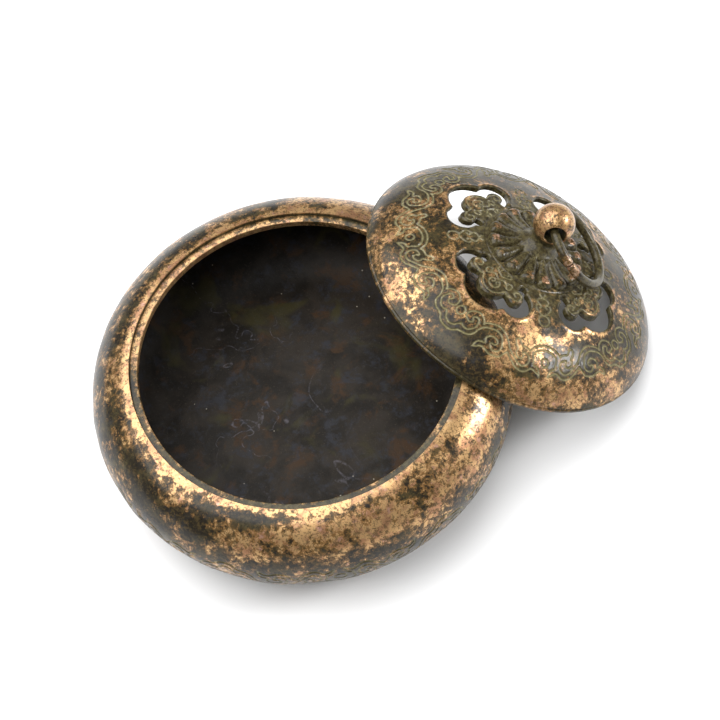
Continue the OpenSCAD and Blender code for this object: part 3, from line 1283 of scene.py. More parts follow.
@dataclass(frozen=True)
class CloudSlot:
    """A slot cut round a tongue: a crown between two lobes, each with a curled end."""

    heart: float = 21.0
    crown: tuple[float, float, float] = (0.0, 24.3, 8.2)
    lobe: tuple[float, float, float] = (9.1, 22.7, 4.9)
    tongue: tuple[float, float, float] = (0.0, 22.9, 4.9)
    tip: tuple[float, float, float] = (7.8, 21.6, 2.5)
    root: float = 6.6
    root_top: float = 21.6
    end: tuple[float, float, float] = (7.8, 17.5, 1.2)

    def reach(self, way: np.ndarray, disc: tuple[float, float, float]) -> tuple[np.ndarray, np.ndarray]:
        """Finds where rays from the heart enter and leave a disc.

        Args:
            way: Ray directions.
            disc: The disc's centre and radius.

        Returns:
            Both distances; a ray that misses has neither.
        """
        middle = np.array([disc[0], disc[1] - self.heart])
        along = way @ middle
        rest = disc[2] ** 2 - middle @ middle + along**2
        half = np.sqrt(np.maximum(rest, 0.0))
        return np.where(rest > 0, along - half, np.inf), np.where(rest > 0, along + half, -np.inf)

    def side(self) -> np.ndarray:
        """Returns the right half of the slot's outline, from its crown round to its tongue."""
        angle = np.radians(np.linspace(90.0, -20.5, 260))
        way = np.column_stack([np.cos(angle), np.sin(angle)])
        outer = np.maximum(self.reach(way, self.crown)[1], self.reach(way, self.lobe)[1])
        inner = np.maximum(self.reach(way, self.tongue)[1], self.reach(way, self.tip)[1])
        box = np.minimum(self.root / np.maximum(way[:, 0], 1e-6),
                         (self.root_top - self.heart) / np.maximum(way[:, 1], 1e-6))
        box = np.where(way[:, 1] > 0, box, self.root / np.maximum(way[:, 0], 1e-6))
        inner = np.maximum(inner, box)
        start = self.reach(way, self.lobe)[0]
        far = np.degrees(angle) < -10.0
        inner = np.where(far & np.isfinite(start), np.maximum(inner, start), inner)
        open_ = outer > inner + 0.25
        line = way[open_] * outer[open_][:, None] + [0.0, self.heart]
        back = way[open_] * inner[open_][:, None] + [0.0, self.heart]
        curl = arc((self.end[0] - 0.1, self.end[1] + 0.1), self.end[2] + 0.1, -35.0, -215.0, 14)
        keep_out = np.hypot(*(line - self.end[:2]).T) > self.end[2] * 0.9
        keep_in = np.hypot(*(back - self.end[:2]).T) > self.end[2] * 1.05
        return np.vstack([line[keep_out], curl, back[keep_in][::-1]])

    def outline(self) -> np.ndarray:
        """Returns the whole outline, closed, with its corners eased."""
        half = self.side()
        both = np.vstack([half, (half * [-1.0, 1.0])[::-1]])
        line = resample(both, 0.2, True)
        for _ in range(7):
            line = 0.5 * line + 0.25 * (np.roll(line, 1, axis=0) + np.roll(line, -1, axis=0))
        return resample(line, 0.36, True)


@dataclass
class Lid:
    """The pierced domed lid with its flower boss, ball knob, washer and loose ring."""

    rim_r: float = 49.2
    dome_h: float = 18.6
    drop: float = 0.7
    wall: float = 2.1
    opening_turn: float = 26.5
    boss_r: float = 16.6
    petals: int = 16
    petal_turn: float = 4.5
    ball_r: float = 6.4
    ball_z: float = 29.9
    eye_r: float = 3.1
    ring_r: float = 12.75
    wire_r: float = 1.45
    ring_droop: float = 27.5
    ring_turn: float = -26.4
    lean: float = 30.8
    lean_turn: float = -2.8
    away: float = 71.9
    eye_turn: float = -109.3
    rivet_r: float = 2.5
    segments: int = 480

    @property
    def place(self) -> Placement:
        """Returns where the leaning lid lies."""
        lean = math.radians(self.lean)
        rise = (self.rim_r - 0.3) * math.sin(lean) + 0.1
        return Placement((self.away, 0.0, rise), lean, math.radians(self.lean_turn))

    @property
    def boss_top(self) -> float:
        """Returns the height of the boss's upper face."""
        return self.dome_h + 2.7

    def dome(self, radial: np.ndarray, inset: float = 0.0) -> np.ndarray:
        """Gives the dome's height.

        Args:
            radial: Distance from the lid's axis.
            inset: How far the face lies under the outer one.

        Returns:
            Heights above the rim's underside.
        """
        wide, tall = self.rim_r + 0.1 - inset, self.dome_h + self.drop - inset
        return tall * np.sqrt(np.maximum(1.0 - (radial / wide) ** 2, 0.0)) - self.drop

    def slots(self) -> list[np.ndarray]:
        """Returns the four slots' outlines, in the lid's plane."""
        shape = CloudSlot().outline()
        out = []
        for k in range(4):
            a = math.radians(self.opening_turn + 90.0 * k - 90.0)
            turn = np.array([[math.cos(a), math.sin(a)], [-math.sin(a), math.cos(a)]])
            out.append(shape @ turn)
        return out

    def cuts(self) -> Engraving:
        """Returns every line that is engraved on the lid."""
        scroll = Scroll()
        lines = [polar(line) for line in scroll.repeated(4, self.eye_turn)]
        for angle, radius, size in scroll.rings(4, self.eye_turn):
            middle = polar(np.array([[angle, radius]]))[0]
            lines.append(arc(tuple(middle), size, 0.0, 360.0, 30))
        for k in range(4):
            lines += self.sprig(self.eye_turn - 1.0 + 90.0 * k)
            lines += self.tongue_lines(self.opening_turn + 90.0 * k - 90.0)
        return Engraving(lines, 0.36, 0.3)

    def sprig(self, angle: float) -> list[np.ndarray]:
        """Draws the ringed sprig between two slots.

        Args:
            angle: Its direction from the lid's axis, in degrees.

        Returns:
            Its lines, in the lid's plane.
        """
        a = math.radians(angle)
        turn = np.array([[math.cos(a), math.sin(a)], [-math.sin(a), math.cos(a)]])
        ring = arc((27.0, 0.0), 1.75, 0.0, 360.0, 34)
        branch = spline(np.array([(25.2, 0.5), (24.4, 1.5), (23.2, 2.4), (21.9, 2.2), (21.6, 1.2),
                                  (22.4, 0.8), (22.9, 1.3)]))
        root = spline(np.array([(21.6, 1.2), (20.6, 1.9), (19.6, 1.2), (19.2, 0.3), (18.2, 0.9)]))
        mirror = np.array([1.0, -1.0])
        return [line @ turn for line in (ring, branch, branch * mirror, root, root * mirror)]

    def tongue_lines(self, angle: float) -> list[np.ndarray]:
        """Draws the border and the curls on a tongue.

        Args:
            angle: The slot's turn about the lid's axis, in degrees.

        Returns:
            Its lines, in the lid's plane.
        """
        a = math.radians(angle)
        turn = np.array([[math.cos(a), math.sin(a)], [-math.sin(a), math.cos(a)]])
        border = spline(np.array([(0.0, 26.6), (1.9, 26.1), (3.4, 24.7), (4.3, 23.2), (5.6, 23.3),
                                  (7.2, 23.0), (8.8, 22.3), (9.2, 20.9), (8.3, 19.9), (7.0, 20.1),
                                  (6.6, 21.2), (7.4, 21.7)]))
        heart = spline(np.array([(0.0, 24.9), (1.3, 24.3), (1.8, 22.9), (1.0, 21.9), (0.3, 22.5),
                                 (0.7, 23.1)]))
        stem = spline(np.array([(0.0, 21.4), (1.6, 20.4), (3.0, 20.9), (3.9, 21.9), (4.9, 21.2),
                                (4.6, 19.9), (3.6, 19.7), (3.4, 20.4)]))
        low = spline(np.array([(0.0, 19.6), (1.3, 18.9), (2.5, 18.2), (2.4, 17.2), (1.4, 17.2),
                               (1.3, 18.0)]))
        mirror = np.array([-1.0, 1.0])
        lines = (border, heart, stem, low)
        return [line @ turn for line in lines] + [(line * mirror) @ turn for line in lines]

    def nets(self, cuts: Engraving) -> tuple[Sheet, Sheet, list[np.ndarray]]:
        """Nets the lid's upper and lower faces.

        Args:
            cuts: The engraved lines.

        Returns:
            Both nets, and the holes' outlines that both pass through.
        """
        slots = self.slots()
        bore = arc((0.0, 0.0), self.rivet_r + 0.05, 0.0, 360.0, 49)[:-1]
        holes = slots + [bore]
        turn = np.linspace(0.0, 2 * math.pi, self.segments, endpoint=False)
        ring = np.column_stack([np.cos(turn), np.sin(turn)])
        beside = []
        for slot in slots:
            way = np.roll(slot, -1, axis=0) - np.roll(slot, 1, axis=0)
            way /= np.linalg.norm(way, axis=1)[:, None]
            side = np.column_stack([-way[:, 1], way[:, 0]])
            beside += [slot + side * off for off in (-1.0, -0.7, -0.4, -0.18, 0.18, 0.4, 0.7, 1.0)]
        edge = kdtree.KDTree(sum(len(h) for h in holes))
        for i, (x, y) in enumerate(np.vstack(holes)):
            edge.insert((x, y, 0.0), i)
        edge.balance()
        top_r, low_r = 48.62, 46.6
        rows = [ring * r for r in (48.2, 47.6, 17.6, 17.3, 17.0, 16.7)]
        comb = honeycomb((-50.0, -50.0), (50.0, 50.0), 0.8)
        fill = np.vstack([cuts.rows()] + beside + rows + [comb])
        top_fill = self.between(thin_out(fill, 0.17), holes, edge, top_r - 0.15, 0.1)
        spot = [ring[::6] * r for r in (5.2, 5.35)]
        coarse = np.vstack(beside[::4] + spot + [honeycomb((-50.0, -50.0), (50.0, 50.0), 1.5)])
        low_fill = self.between(thin_out(coarse, 0.25), holes, edge, low_r - 0.4, 0.25)
        numbers = list(range(1, len(holes) + 1))
        top = Sheet([ring * top_r] + holes, numbers, top_fill)
        low = Sheet([ring * low_r] + holes, numbers, low_fill)
        return top, low, holes

    def between(self, fill: np.ndarray, holes: Sequence[np.ndarray], edge: kdtree.KDTree, reach: float,
                margin: float) -> np.ndarray:
        """Keeps the points that lie on the metal.

        Args:
            fill: Points in the lid's plane.
            holes: Outlines of the holes.
            edge: A tree of those outlines' points.
            reach: Largest distance from the axis.
            margin: Least distance from an outline.

        Returns:
            The points that are kept.
        """
        fill = fill[np.hypot(fill[:, 0], fill[:, 1]) < reach]
        near = np.array([edge.find((x, y, 0.0))[2] for x, y in fill])
        fill = fill[near > margin]
        keep = np.ones(len(fill), dtype=bool)
        for hole in holes:
            low, high = hole.min(axis=0), hole.max(axis=0)
            inside = np.all((fill > low) & (fill < high), axis=1)
            keep[inside] &= ~inside_loop(fill[inside], hole)
        return fill[keep]

    def plate(self) -> bpy.types.Object:
        """Makes the pierced dome.

        Returns:
            The dome, closed, with its slots, rim steps and engraving.
        """
        cuts = self.cuts()
        top, low, holes = self.nets(cuts)
        flat = top.points
        radial = np.hypot(flat[:, 0], flat[:, 1])
        gap = cuts.distance(flat)
        slot_tree = kdtree.KDTree(sum(len(h) for h in holes[:4]))
        for i, (x, y) in enumerate(np.vstack(holes[:4])):
            slot_tree.insert((x, y, 0.0), i)
        slot_tree.balance()
        to_slot = np.array([slot_tree.find((x, y, 0.0))[2] for x, y in flat])
        height = cuts.relief(gap) * step_up(radial, 15.5, 17.2)
        height -= 0.34 * (1.0 - step_up(to_slot, 0.0, 0.42))
        height += 0.12 * np.exp(-(((to_slot - 0.8) / 0.3) ** 2))
        height -= 0.3 * np.exp(-(((radial - 17.05) / 0.3) ** 2))
        height += Waves(15.0, 0.07, 12).at(np.column_stack([flat, self.dome(radial)])) * step_up(48.0 - radial, 0, 4)
        grade = -(self.dome(radial + 0.01) - self.dome(radial - 0.01)) / 0.02
        grade = np.clip(grade, 0.0, 4.0)
        length = np.sqrt(1.0 + grade**2)
        away = flat / np.maximum(radial, 1e-6)[:, None]
        upper = np.column_stack([flat + away * (height * grade / length)[:, None],
                                 self.dome(radial) + height / length])
        low_flat = low.points
        low_radial = np.hypot(low_flat[:, 0], low_flat[:, 1])
        sunk = np.where(low_radial < 5.28, self.dome_h - self.wall + 0.2, self.dome(low_radial, self.wall))
        lower = np.column_stack([low_flat, sunk])
        rim = rounded([(48.62, self.dome(np.array([48.62]))[0], 0.0), (self.rim_r - 0.2, 1.9, 0.12),
                       (self.rim_r - 0.45, 1.5, 0.12), (self.rim_r, 1.1, 0.14), (self.rim_r, 0.3, 0.2),
                       (self.rim_r - 0.3, 0.0, 0.2), (47.16, 0.0, 0.3),
                       (46.6, self.dome(np.array([46.6]), self.wall)[0], 0.0)],
                      False, 4)
        edge_pts, edge_faces = revolve(rim[1:-1], self.segments, False)
        base_low = len(upper)
        base_rim = base_low + len(lower)
        faces: Faces = [tuple(t) for t in top.tris.tolist()]
        faces += [tuple(i + base_low for i in t[::-1]) for t in low.tris.tolist()]
        faces += [tuple(i + base_rim for i in f) for f in edge_faces]
        end = base_rim + len(edge_pts) - self.segments
        faces += strip(top.loops[0], range(base_rim, base_rim + self.segments))
        faces += strip(range(end, end + self.segments), [i + base_low for i in low.loops[0]])
        walls, wall_faces = self.slot_walls(upper, lower, top, low, base_low, base_rim + len(edge_pts))
        points = np.vstack([upper, lower, edge_pts] + walls)
        fields = self.wear(points, len(upper), gap, to_slot)
        return solid("lid_plate", points, faces + wall_faces, self.place, fields, 38.0)

    def slot_walls(self, upper: np.ndarray, lower: np.ndarray, top: Sheet, low: Sheet, base_low: int,
                   base: int) -> tuple[list[np.ndarray], Faces]:
        """Joins the two faces round every hole.

        Args:
            upper: Points of the upper face.
            lower: Points of the lower face.
            top: The upper net.
            low: The lower net.
            base_low: Number of the lower face's first point.
            base: Number of the first new point.

        Returns:
            New points between the faces, and the walls' faces.
        """
        new, faces = [], []
        for above, below in zip(top.loops[1:], low.loops[1:]):
            a, b = upper[above], lower[below]
            middle = 0.5 * (a + b)
            middle[:, :2] = a[:, :2] + 0.04 * np.sin(np.arange(len(a))[:, None] * 0.9)
            row = list(range(base, base + len(a)))
            new.append(middle)
            faces += strip(row, above)
            faces += strip([i + base_low for i in below], row)
            base += len(a)
        return new, faces

    def wear(self, points: np.ndarray, engraved: int, gap: np.ndarray, to_slot: np.ndarray) -> Fields:
        """Says where the plate is rubbed, engraved and grimy.

        Args:
            points: The plate's points in the lid's frame.
            engraved: Number of points on the upper face.
            gap: Their distances to the nearest cut.
            to_slot: Their distances to the nearest slot.

        Returns:
            The values of each layer.
        """
        radial = np.hypot(points[:, 0], points[:, 1])
        groove = np.zeros(len(points))
        groove[:engraved] = np.clip(1.3 - gap / 0.3, 0.0, 1.0) * step_up(radial[:engraved], 15.5, 17.2)
        groove[:engraved] *= 0.7 + 0.3 * step_up(radial[:engraved], 27.0, 33.0)
        grime = 0.7 * (1.0 - step_up(radial, 14.0, 31.0))
        wall = np.ones(len(points))
        wall[:engraved] = 1.0 - step_up(to_slot, 0.1, 0.6)
        outer = (radial > 46.7) & (points[:, 2] < 2.6)
        wall[outer] = 0.0
        grime = np.maximum(grime, 0.85 * wall)
        angle = np.degrees(np.arctan2(points[:, 1], points[:, 0]))
        polish = np.zeros(len(points))
        for centre, distance, wide, tall, power in RUBBED_LID:
            polish += blob(turned(angle, centre), radial, (0.0, distance, wide, tall, power))
        polish[:engraved] += 0.35 * np.exp(-(((to_slot - 0.9) / 0.5) ** 2)) * step_up(radial[:engraved], 24.0, 30.0)
        under = points[:, 2] < self.dome(radial) - 0.9
        polish[under & ~outer] = -0.6
        grime[outer] = 0.25
        return {Layer.GROOVE.value: groove, Layer.GRIME.value: grime, Layer.POLISH_AND_PAINTED_LIGHT.value: polish}

    def petal(self) -> tuple[np.ndarray, Faces]:
        """Makes one petal that points along X.

        Returns:
            Its points and faces, closed.
        """
        half = math.tan(math.pi / self.petals)
        tip_at, bulb = self.boss_r - 1.95, 1.95
        rounding = np.sin(np.linspace(0, math.pi / 2, 7)[:-1])
        radial = np.concatenate([np.linspace(3.6, tip_at, 13)[:-1], tip_at + bulb * rounding])
        ridge = np.interp(radial, [3.6, 5.0, 7.0, 9.5, 12.0, 13.6, tip_at],
                          [21.7, 21.4, 20.7, 20.1, 19.75, 19.85, 19.9])
        over = np.sqrt(np.maximum(1.0 - (np.maximum(radial - tip_at, 0.0) / bulb) ** 2, 0.0))
        across = np.sin(np.linspace(-math.pi / 2, math.pi / 2, 11))
        points, faces = [], []
        for r, top, share in zip(radial, ridge, over):
            ground = self.dome(np.array([r]))[0] - 0.35
            wide = r * half * 0.94 * share
            crest = ground + (top - ground) * share
            rise = np.sqrt(np.maximum(1.0 - across**2, 0.0)) ** 0.85
            points.append(np.column_stack([np.full(11, r), across * wide, ground + (crest - ground) * rise]))
        end = np.array([[self.boss_r, 0.0, self.dome(np.array([self.boss_r]))[0] - 0.2]])
        rows = len(points)
        for i in range(rows - 1):
            for j in range(10):
                a = i * 11 + j
                faces.append((a, a + 11, a + 12, a + 1))
            faces.append((i * 11, i * 11 + 10, i * 11 + 21, i * 11 + 11))
        tip = rows * 11
        for j in range(10):
            faces.append(((rows - 1) * 11 + j, tip, (rows - 1) * 11 + j + 1))
        faces.append(((rows - 1) * 11 + 10, tip, (rows - 1) * 11))
        faces.append(tuple(range(11)))
        return np.vstack(points + [end]), faces

    def boss(self, finish: bpy.types.Material) -> bpy.types.Object:
        """Makes the flower boss.

        Args:
            finish: Its material.

        Returns:
            The boss as one skin.
        """
        points, faces = self.petal()
        one = solid("petal", points, faces, Placement(), None)
        modifier = one.modifiers.new("rosette", "NODES")
        modifier.node_group = rosette_nodes(finish)
        sockets = {s.name: s.identifier for s in modifier.node_group.interface.items_tree if s.item_type == "SOCKET"}
        modifier[sockets["Petals"]] = self.petals
        modifier[sockets["First petal"]] = math.radians(self.petal_turn)
        modifier[sockets["Unevenness"]] = 0.035
        modifier[sockets["Seed"]] = 4
        flower = baked(one, "flower", 40.0)
        core = rounded([(0.0, self.dome_h - 2.0, 0.0), (self.boss_r - 1.3, self.dome(np.array([15.3]))[0] - 0.7, 0.2),
                        (self.boss_r - 1.9, 17.9, 0.5), (12.6, 18.3, 0.6), (9.5, 18.75, 0.6), (7.2, 19.6, 0.8),
                        (5.6, 21.3, 0.6), (0.0, 21.6, 0.0)], False)
        core_pts, core_faces = revolve(core, 96, False)
        bm = bmesh.new()
        bm.from_mesh(flower.data)
        verts = [bm.verts.new(p) for p in (core_pts * MM).tolist()]
        for face in core_faces:
            bm.faces.new([verts[i] for i in face])
        bmesh.ops.recalc_face_normals(bm, faces=bm.faces)
        bm.to_mesh(flower.data)
        bm.free()
        boss = skinned(flower, "lid_flower_boss", 0.16, 2)
        local = mesh_points(boss.data) / MM
        radial = np.hypot(local[:, 0], local[:, 1])
        local[:, 2] += Waves(3.2, 0.06, 21).at(local) * step_up(17.5 - radial, 0, 2)
        turn = np.degrees(np.arctan2(local[:, 1], local[:, 0])) - self.petal_turn
        valley = np.abs(((turn * self.petals / 360.0) + 0.5) % 1.0 - 0.5) * 2.0
        # Painted shade: the valleys between the petals are made darker, with less dirt and no rubbing, so the black
        # skin shows there.
        low = step_up(valley, 0.62, 0.98) * step_up(radial, 7.0, 10.0)
        # The petal tips are rubbed to copper: partly wear on the high points, partly a painted highlight.
        ends = step_up(radial, 11.6, 13.4) * (1.0 - step_up(valley, 0.35, 0.75))
        ends *= step_up(local[:, 2], 18.9, 19.5)
        for layer in (Layer.GROOVE, Layer.INNER):
            set_layer(boss.data, layer, np.zeros(len(local)))
        set_layer(boss.data, Layer.GRIME, np.clip(0.85 - 0.6 * ends - 0.75 * low, 0.0, 1.0))
        set_layer(boss.data, Layer.POLISH_AND_PAINTED_LIGHT, 0.32 * ends - 0.15 - 0.9 * low)
        write_points(boss.data, self.place.world(local))
        return boss

    def knob(self) -> bpy.types.Object:
        """Makes the ball knob with its eye, neck and rivet.

        Returns:
            The knob as one skin.
        """
        ease_r = 0.55
        start = math.degrees(math.asin((self.eye_r + ease_r) / self.ball_r))
        ball = arc((0.0, 0.0), self.ball_r, start, 180.0 - start, 60)
        side = self.ball_r * math.cos(math.radians(start))
        bore = np.array([(-side - 0.02, self.eye_r + 0.3), (-side + 0.3, self.eye_r + 0.06),
                         (-side + 0.8, self.eye_r), (side - 0.8, self.eye_r), (side - 0.3, self.eye_r + 0.06),
                         (side + 0.02, self.eye_r + 0.3)])
        outline = np.vstack([ball, bore])
        points, faces = revolve(outline[:, ::-1], 120, True)
        a = math.radians(self.ring_turn)
        axis = np.array([-math.sin(a), math.cos(a), 0.0])
        across = np.array([math.cos(a), math.sin(a), 0.0])
        lift = np.array([0.0, 0.0, 1.0])
        ball_pts = points[:, :1] * across + points[:, 1:2] * lift + points[:, 2:] * axis + [0.0, 0.0, self.ball_z]
        top = self.boss_top
        spot = self.dome_h - self.wall + 0.2
        neck = np.array([(0.0, top - 1.6), (7.2, top - 1.5), (6.6, top - 0.6), (5.7, top + 0.05),
                         (4.85, top + 0.8), (4.35, top + 1.6), (4.1, top + 2.5), (4.2, top + 3.3),
                         (4.65, top + 4.1), (4.9, top + 4.6), (0.0, top + 4.7)])
        body_pts, body_faces = revolve(np.vstack([neck[:1], spline(neck[1:-1], 4), neck[-1:]]), 96, False)
        shaft = rounded([(0.0, top - 1.0, 0.0), (self.rivet_r, top - 1.0, 0.0), (self.rivet_r, spot - 1.2, 0.0),
                         (3.7, spot - 1.2, 0.15), (3.3, spot - 2.0, 0.4), (2.6, spot - 2.4, 0.3),
                         (0.0, spot - 2.4, 0.0)], False)
        shaft_pts, shaft_faces = revolve(shaft, 64, False)
        cloud = np.vstack([ball_pts, body_pts, shaft_pts])
        shift = len(ball_pts)
        faces += [tuple(i + shift for i in f) for f in body_faces]
        shift += len(body_pts)
        faces += [tuple(i + shift for i in f) for f in shaft_faces]
        rough = solid("knob_rough", cloud, faces, Placement(), None)
        knob = skinned(rough, "lid_ball_knob", 0.17, 8)
        local = mesh_points(knob.data) / MM
        from_ball = local - [0.0, 0.0, self.ball_z]
        distance = np.linalg.norm(from_ball, axis=1)
        on_ball = step_up(distance, self.ball_r - 0.7, self.ball_r - 0.25) * step_up(local[:, 2], 24.4, 26.5)
        cap = step_up(local[:, 2], 26.5, 30.5)
        set_layer(knob.data, Layer.POLISH_AND_PAINTED_LIGHT, on_ball * (0.1 + 0.25 * cap) - 0.35 * (1.0 - on_ball))
        set_layer(knob.data, Layer.GRIME, 0.75 * (1.0 - on_ball))
        for layer in (Layer.GROOVE, Layer.INNER):
            set_layer(knob.data, layer, np.zeros(len(local)))
        write_points(knob.data, self.place.world(local))
        return knob

    def washer(self) -> bpy.types.Object:
        """Makes the washer under the lid.

        Returns:
            The washer.
        """
        spot = self.dome_h - self.wall + 0.2
        section = rounded([(self.rivet_r + 0.05, spot - 1.2, 0.1), (5.2, spot - 1.2, 0.3),
                           (5.2, spot, 0.1), (self.rivet_r + 0.05, spot, 0.1)], True)
        points, faces = revolve(section, 72, True)
        fields = {Layer.GRIME.value: np.full(len(points), 0.4)}
        return solid("lid_rivet_washer", points, faces, self.place, fields)

    def ring(self) -> bpy.types.Object:
        """Makes the loose ring, with a fine split where its ends meet.

        Returns:
            The ring.
        """
        a, d = math.radians(self.ring_turn), math.radians(self.ring_droop)
        turn = np.array([[math.cos(a), -math.sin(a), 0.0], [math.sin(a), math.cos(a), 0.0], [0.0, 0.0, 1.0]])
        droop = np.array([[math.cos(d), 0.0, math.sin(d)], [0.0, 1.0, 0.0], [-math.sin(d), 0.0, math.cos(d)]])
        both = turn @ droop
        split_at, half = math.radians(-112.0), 0.16 / self.ring_r
        around = np.linspace(split_at + half, split_at + 2 * math.pi - half, 221)
        wire = np.linspace(0.0, 2 * math.pi, 36, endpoint=False)
        rng = np.random.default_rng(6)
        thick = np.interp(around, np.linspace(around[0], around[-1], 30), rng.normal(0.0, 0.022, 30))
        rows = []
        ends = ((0.0, 0.82), (0.1, 0.95))
        for i, t in enumerate(around):
            from_end = min(t - around[0], around[-1] - t) * self.ring_r
            size = self.wire_r - 0.03 + thick[i]
            size *= float(np.interp(from_end, [e[0] for e in ends] + [0.3], [e[1] for e in ends] + [1.0]))
            middle = np.array([math.cos(t), math.sin(t), 0.0]) * self.ring_r
            out = np.array([math.cos(t), math.sin(t), 0.0])
            rows.append(middle + size * (np.cos(wire)[:, None] * out + np.sin(wire)[:, None] * [0.0, 0.0, 1.0]))
        points = np.vstack(rows)
        faces: Faces = []
        for i in range(len(rows) - 1):
            faces += strip(range(i * 36, (i + 1) * 36), range((i + 1) * 36, (i + 2) * 36))
        faces += [tuple(range(36)), tuple(range(len(points) - 36, len(points)))]
        points = points + [self.ring_r - 0.7, 0.0, 0.0]
        local = points @ both.T + [0.0, 0.0, self.ball_z]
        toward = np.repeat(np.cos(around - split_at), 36)
        polish = -0.2 + 0.28 * step_up(toward, 0.85, 1.0)
        grime = 0.7 - 0.5 * step_up(toward, 0.8, 1.0)
        fields = {Layer.POLISH_AND_PAINTED_LIGHT.value: polish, Layer.GRIME.value: grime}
        return solid("lid_loose_ring", local, faces, self.place, fields, 50.0)

    def build(self) -> None:
        """Makes and dresses the lid's pieces."""
        dress(self.plate(), LID_FINISH.material(), Body.LID, "lid_dome")
        boss_finish = BOSS_FINISH.material()
        dress(self.boss(boss_finish), boss_finish, Body.LID, "flower_boss")
        dress(self.knob(), KNOB_FINISH.material(), Body.LID, "ball_knob")
        dress(self.washer(), WASHER_FINISH.material(), Body.LID, "rivet_washer")
        dress(self.ring(), RING_FINISH.material(), Body.RING, "knob_ring")


def write_points(mesh: bpy.types.Mesh, points: np.ndarray) -> None:
    """Moves a mesh's points.

    Args:
        mesh: The mesh.
        points: Their new places, in metres.
    """
    mesh.vertices.foreach_set("co", points.ravel())
    mesh.update()


def rosette_nodes(finish: bpy.types.Material) -> bpy.types.NodeTree:
    """Builds the nodes that repeat a petal round an axis.

    Args:
        finish: The petals' material.

    Returns:
        The node group, with named inputs for its sizes.
    """
    group = bpy.data.node_groups.new("rosette", "GeometryNodeTree")
    face = group.interface
    face.new_socket("Petal", in_out="INPUT", socket_type="NodeSocketGeometry")
    for name, kind, value in (("Petals", "NodeSocketInt", 16), ("First petal", "NodeSocketFloat", 0.0),
                              ("Unevenness", "NodeSocketFloat", 0.03), ("Seed", "NodeSocketInt", 4)):
        face.new_socket(name, in_out="INPUT", socket_type=kind).default_value = value
    face.new_socket("Rosette", in_out="OUTPUT", socket_type="NodeSocketGeometry")
    nodes, links = group.nodes, group.links
    given = nodes.new("NodeGroupInput").outputs
    line = nodes.new("GeometryNodeMeshLine")
    line.inputs["Offset"].default_value = (0.0, 0.0, 0.0)
    links.new(given["Petals"], line.inputs["Count"])
    step = nodes.new("ShaderNodeMath")
    step.operation = "DIVIDE"
    step.inputs[0].default_value = 2 * math.pi
    links.new(given["Petals"], step.inputs[1])
    angle = nodes.new("ShaderNodeMath")
    angle.operation = "MULTIPLY_ADD"
    links.new(nodes.new("GeometryNodeInputIndex").outputs[0], angle.inputs[0])
    links.new(step.outputs[0], angle.inputs[1])
    links.new(given["First petal"], angle.inputs[2])
    turn = nodes.new("ShaderNodeCombineXYZ")
    links.new(angle.outputs[0], turn.inputs["Z"])
    spread = nodes.new("FunctionNodeRandomValue")
    spread.data_type = "FLOAT"
    less = nodes.new("ShaderNodeMath")
    less.operation = "SUBTRACT"
    less.inputs[0].default_value = 1.0
    links.new(given["Unevenness"], less.inputs[1])
    links.new(less.outputs[0], spread.inputs[2])
    spread.inputs[3].default_value = 1.0
    links.new(given["Seed"], spread.inputs["Seed"])
    place = nodes.new("GeometryNodeInstanceOnPoints")
    links.new(line.outputs["Mesh"], place.inputs["Points"])
    links.new(given["Petal"], place.inputs["Instance"])
    links.new(turn.outputs[0], place.inputs["Rotation"])
    size = nodes.new("ShaderNodeCombineXYZ")
    links.new(spread.outputs[1], size.inputs["X"])
    links.new(spread.outputs[1], size.inputs["Y"])
    size.inputs["Z"].default_value = 1.0
    links.new(size.outputs[0], place.inputs["Scale"])
    real = nodes.new("GeometryNodeRealizeInstances")
    links.new(place.outputs["Instances"], real.inputs["Geometry"])
    coat = nodes.new("GeometryNodeSetMaterial")
    coat.inputs["Material"].default_value = finish
    links.new(real.outputs["Geometry"], coat.inputs["Geometry"])
    links.new(coat.outputs["Geometry"], nodes.new("NodeGroupOutput").inputs[0])
    return group


# ---------------------------------------------------------------- this pot's own finishes and wear

BOWL_FINISH = Patina("bowl_patina", bare=-0.36, seed=2.0, patch=12.0, speck=1.7, lined=True)
SEAT_FINISH = Patina("seat_patina", bare=-0.35, patch=9.0, seed=5.0, sheen=0.4)
FOOT_FINISH = Patina("foot_patina", bare=-0.8, seed=8.0, sheen=0.42)
LID_FINISH = Patina("lid_patina", bare=-0.48, patch=10.0, speck=1.4, seed=11.0)
BOSS_FINISH = Patina("boss_patina", bare=-0.3, patch=4.0, speck=0.9, seed=14.0, sheen=0.26, dirt_share=0.7,
                     gold=(0.46, 0.25, 0.15), copper=(0.36, 0.18, 0.12), pale=(0.6, 0.4, 0.28))
KNOB_FINISH = Patina("knob_patina", bare=-0.28, patch=6.0, speck=1.1, seed=17.0, sheen=0.3)
WASHER_FINISH = Patina("washer_patina", bare=-0.6, seed=20.0, sheen=0.45)
RING_FINISH = Patina("ring_patina", bare=-0.2, patch=5.0, speck=0.8, seed=23.0, sheen=0.28,
                     gold=(0.42, 0.27, 0.17), copper=(0.36, 0.19, 0.13), pale=(0.5, 0.36, 0.26))

# Rubbed places: direction, height on the section or distance, both half sizes, strength
RUBBED_BOWL = (
    (-118.0, 48.0, 30.0, 20.0, 0.3), (-55.0, 52.0, 20.0, 24.0, 0.35), (-82.0, 40.0, 20.0, 12.0, 0.1),
    (-165.0, 40.0, 26.0, 26.0, -0.3), (-128.0, 62.0, 6.0, 10.0, -0.45), (-40.0, 34.0, 60.0, 9.0, 0.1),
    (60.0, 40.0, 60.0, 30.0, 0.1),
)
RUBBED_LID = (
    (178.0, 46.0, 18.0, 6.0, 0.2), (-120.0, 32.0, 18.0, 7.0, 0.3), (-90.0, 47.0, 40.0, 3.0, 0.35),
    (140.0, 42.0, 30.0, 12.0, 0.1), (-143.0, 46.5, 14.0, 3.5, -0.5), (-60.0, 38.0, 18.0, 6.0, -0.2),
    (70.0, 44.0, 60.0, 12.0, -0.35),
)


# ---------------------------------------------------------------- the studio


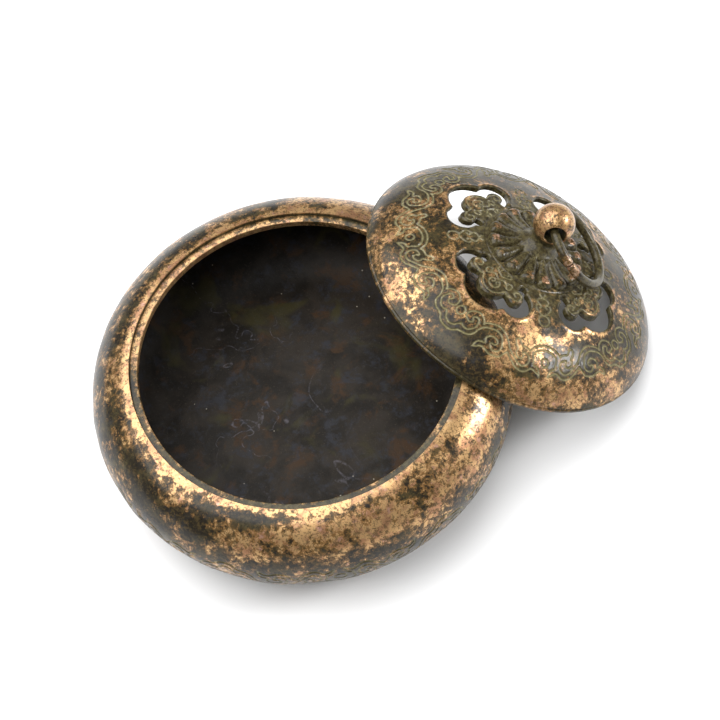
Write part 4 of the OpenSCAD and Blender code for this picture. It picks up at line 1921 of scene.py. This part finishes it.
@dataclass
class Studio:
    """A pale sheet, soft lights and the camera."""

    eye: tuple[float, float, float] = (-63.3, -261.4, 510.95)
    right: tuple[float, float, float] = (0.8985, -0.4319, -0.0786)
    up: tuple[float, float, float] = (0.4135, 0.7721, 0.483)
    lens: float = 90.0
    sheet_half: float = 2.5
    aim: tuple[float, float, float] = (0.03, 0.0, 0.02)
    lamps: tuple[tuple[str, tuple[float, float, float], float, float], ...] = (
        ("overhead", (-0.28, 0.26, 1.05), 1.5, 30.0),
        ("right", (0.85, -0.28, 0.42), 0.28, 6.5),
    )
    air: tuple[float, float, float, float] = (0.96, 0.98, 1.0, 1.0)
    air_strength: float = 0.24

    def camera(self) -> None:
        """Places the camera."""
        data = bpy.data.cameras.new("camera")
        data.lens = self.lens
        data.sensor_width = 36.0
        data.clip_start = 0.01
        camera = bpy.data.objects.new("camera", data)
        x = Vector(self.right).normalized()
        y = Vector(self.up)
        y = (y - x * x.dot(y)).normalized()
        turn = Matrix((x, y, x.cross(y))).transposed().to_4x4()
        camera.matrix_world = Matrix.Translation(Vector(self.eye) * MM) @ turn
        bpy.context.scene.collection.objects.link(camera)
        bpy.context.scene.camera = camera

    def floor(self) -> None:
        """Lays the pale sheet."""
        mesh = bpy.data.meshes.new("floor")
        size = self.sheet_half
        mesh.from_pydata([(-size, -size, 0), (size, -size, 0), (size, size, 0), (-size, size, 0)], [], [(0, 1, 2, 3)])
        floor = bpy.data.objects.new("floor", mesh)
        mesh.materials.append(Paper().material())
        bpy.context.scene.collection.objects.link(floor)

    def light(self, name: str, where: tuple[float, float, float], size: float, power: float) -> None:
        """Hangs one soft light, aimed at the pot.

        Args:
            name: The light's name.
            where: Its place, in metres.
            size: Side of its square face, in metres.
            power: Its power, in watts.
        """
        data = bpy.data.lights.new(name, "AREA")
        data.size = size
        data.energy = power
        lamp = bpy.data.objects.new(name, data)
        aim = Vector(self.aim) - Vector(where)
        lamp.matrix_world = Matrix.Translation(where) @ aim.to_track_quat("-Z", "Y").to_matrix().to_4x4()
        bpy.context.scene.collection.objects.link(lamp)

    def build(self) -> None:
        """Sets up camera, floor, lights and surroundings."""
        self.camera()
        self.floor()
        for lamp in self.lamps:
            self.light(*lamp)
        world = bpy.data.worlds.new("studio")
        world.use_nodes = True
        sky = world.node_tree.nodes["Background"]
        sky.inputs["Color"].default_value = self.air
        sky.inputs["Strength"].default_value = self.air_strength
        bpy.context.scene.world = world
        bpy.context.scene.view_settings.view_transform = "Standard"
        LOG.info("studio ready")


def main() -> None:
    """Builds the studio and every piece, in order."""
    logging.basicConfig(level=logging.INFO, format="%(name)s: %(message)s")
    Studio().build()
    Bowl().build()
    Lid().build()


if __name__ == "__main__":
    main()
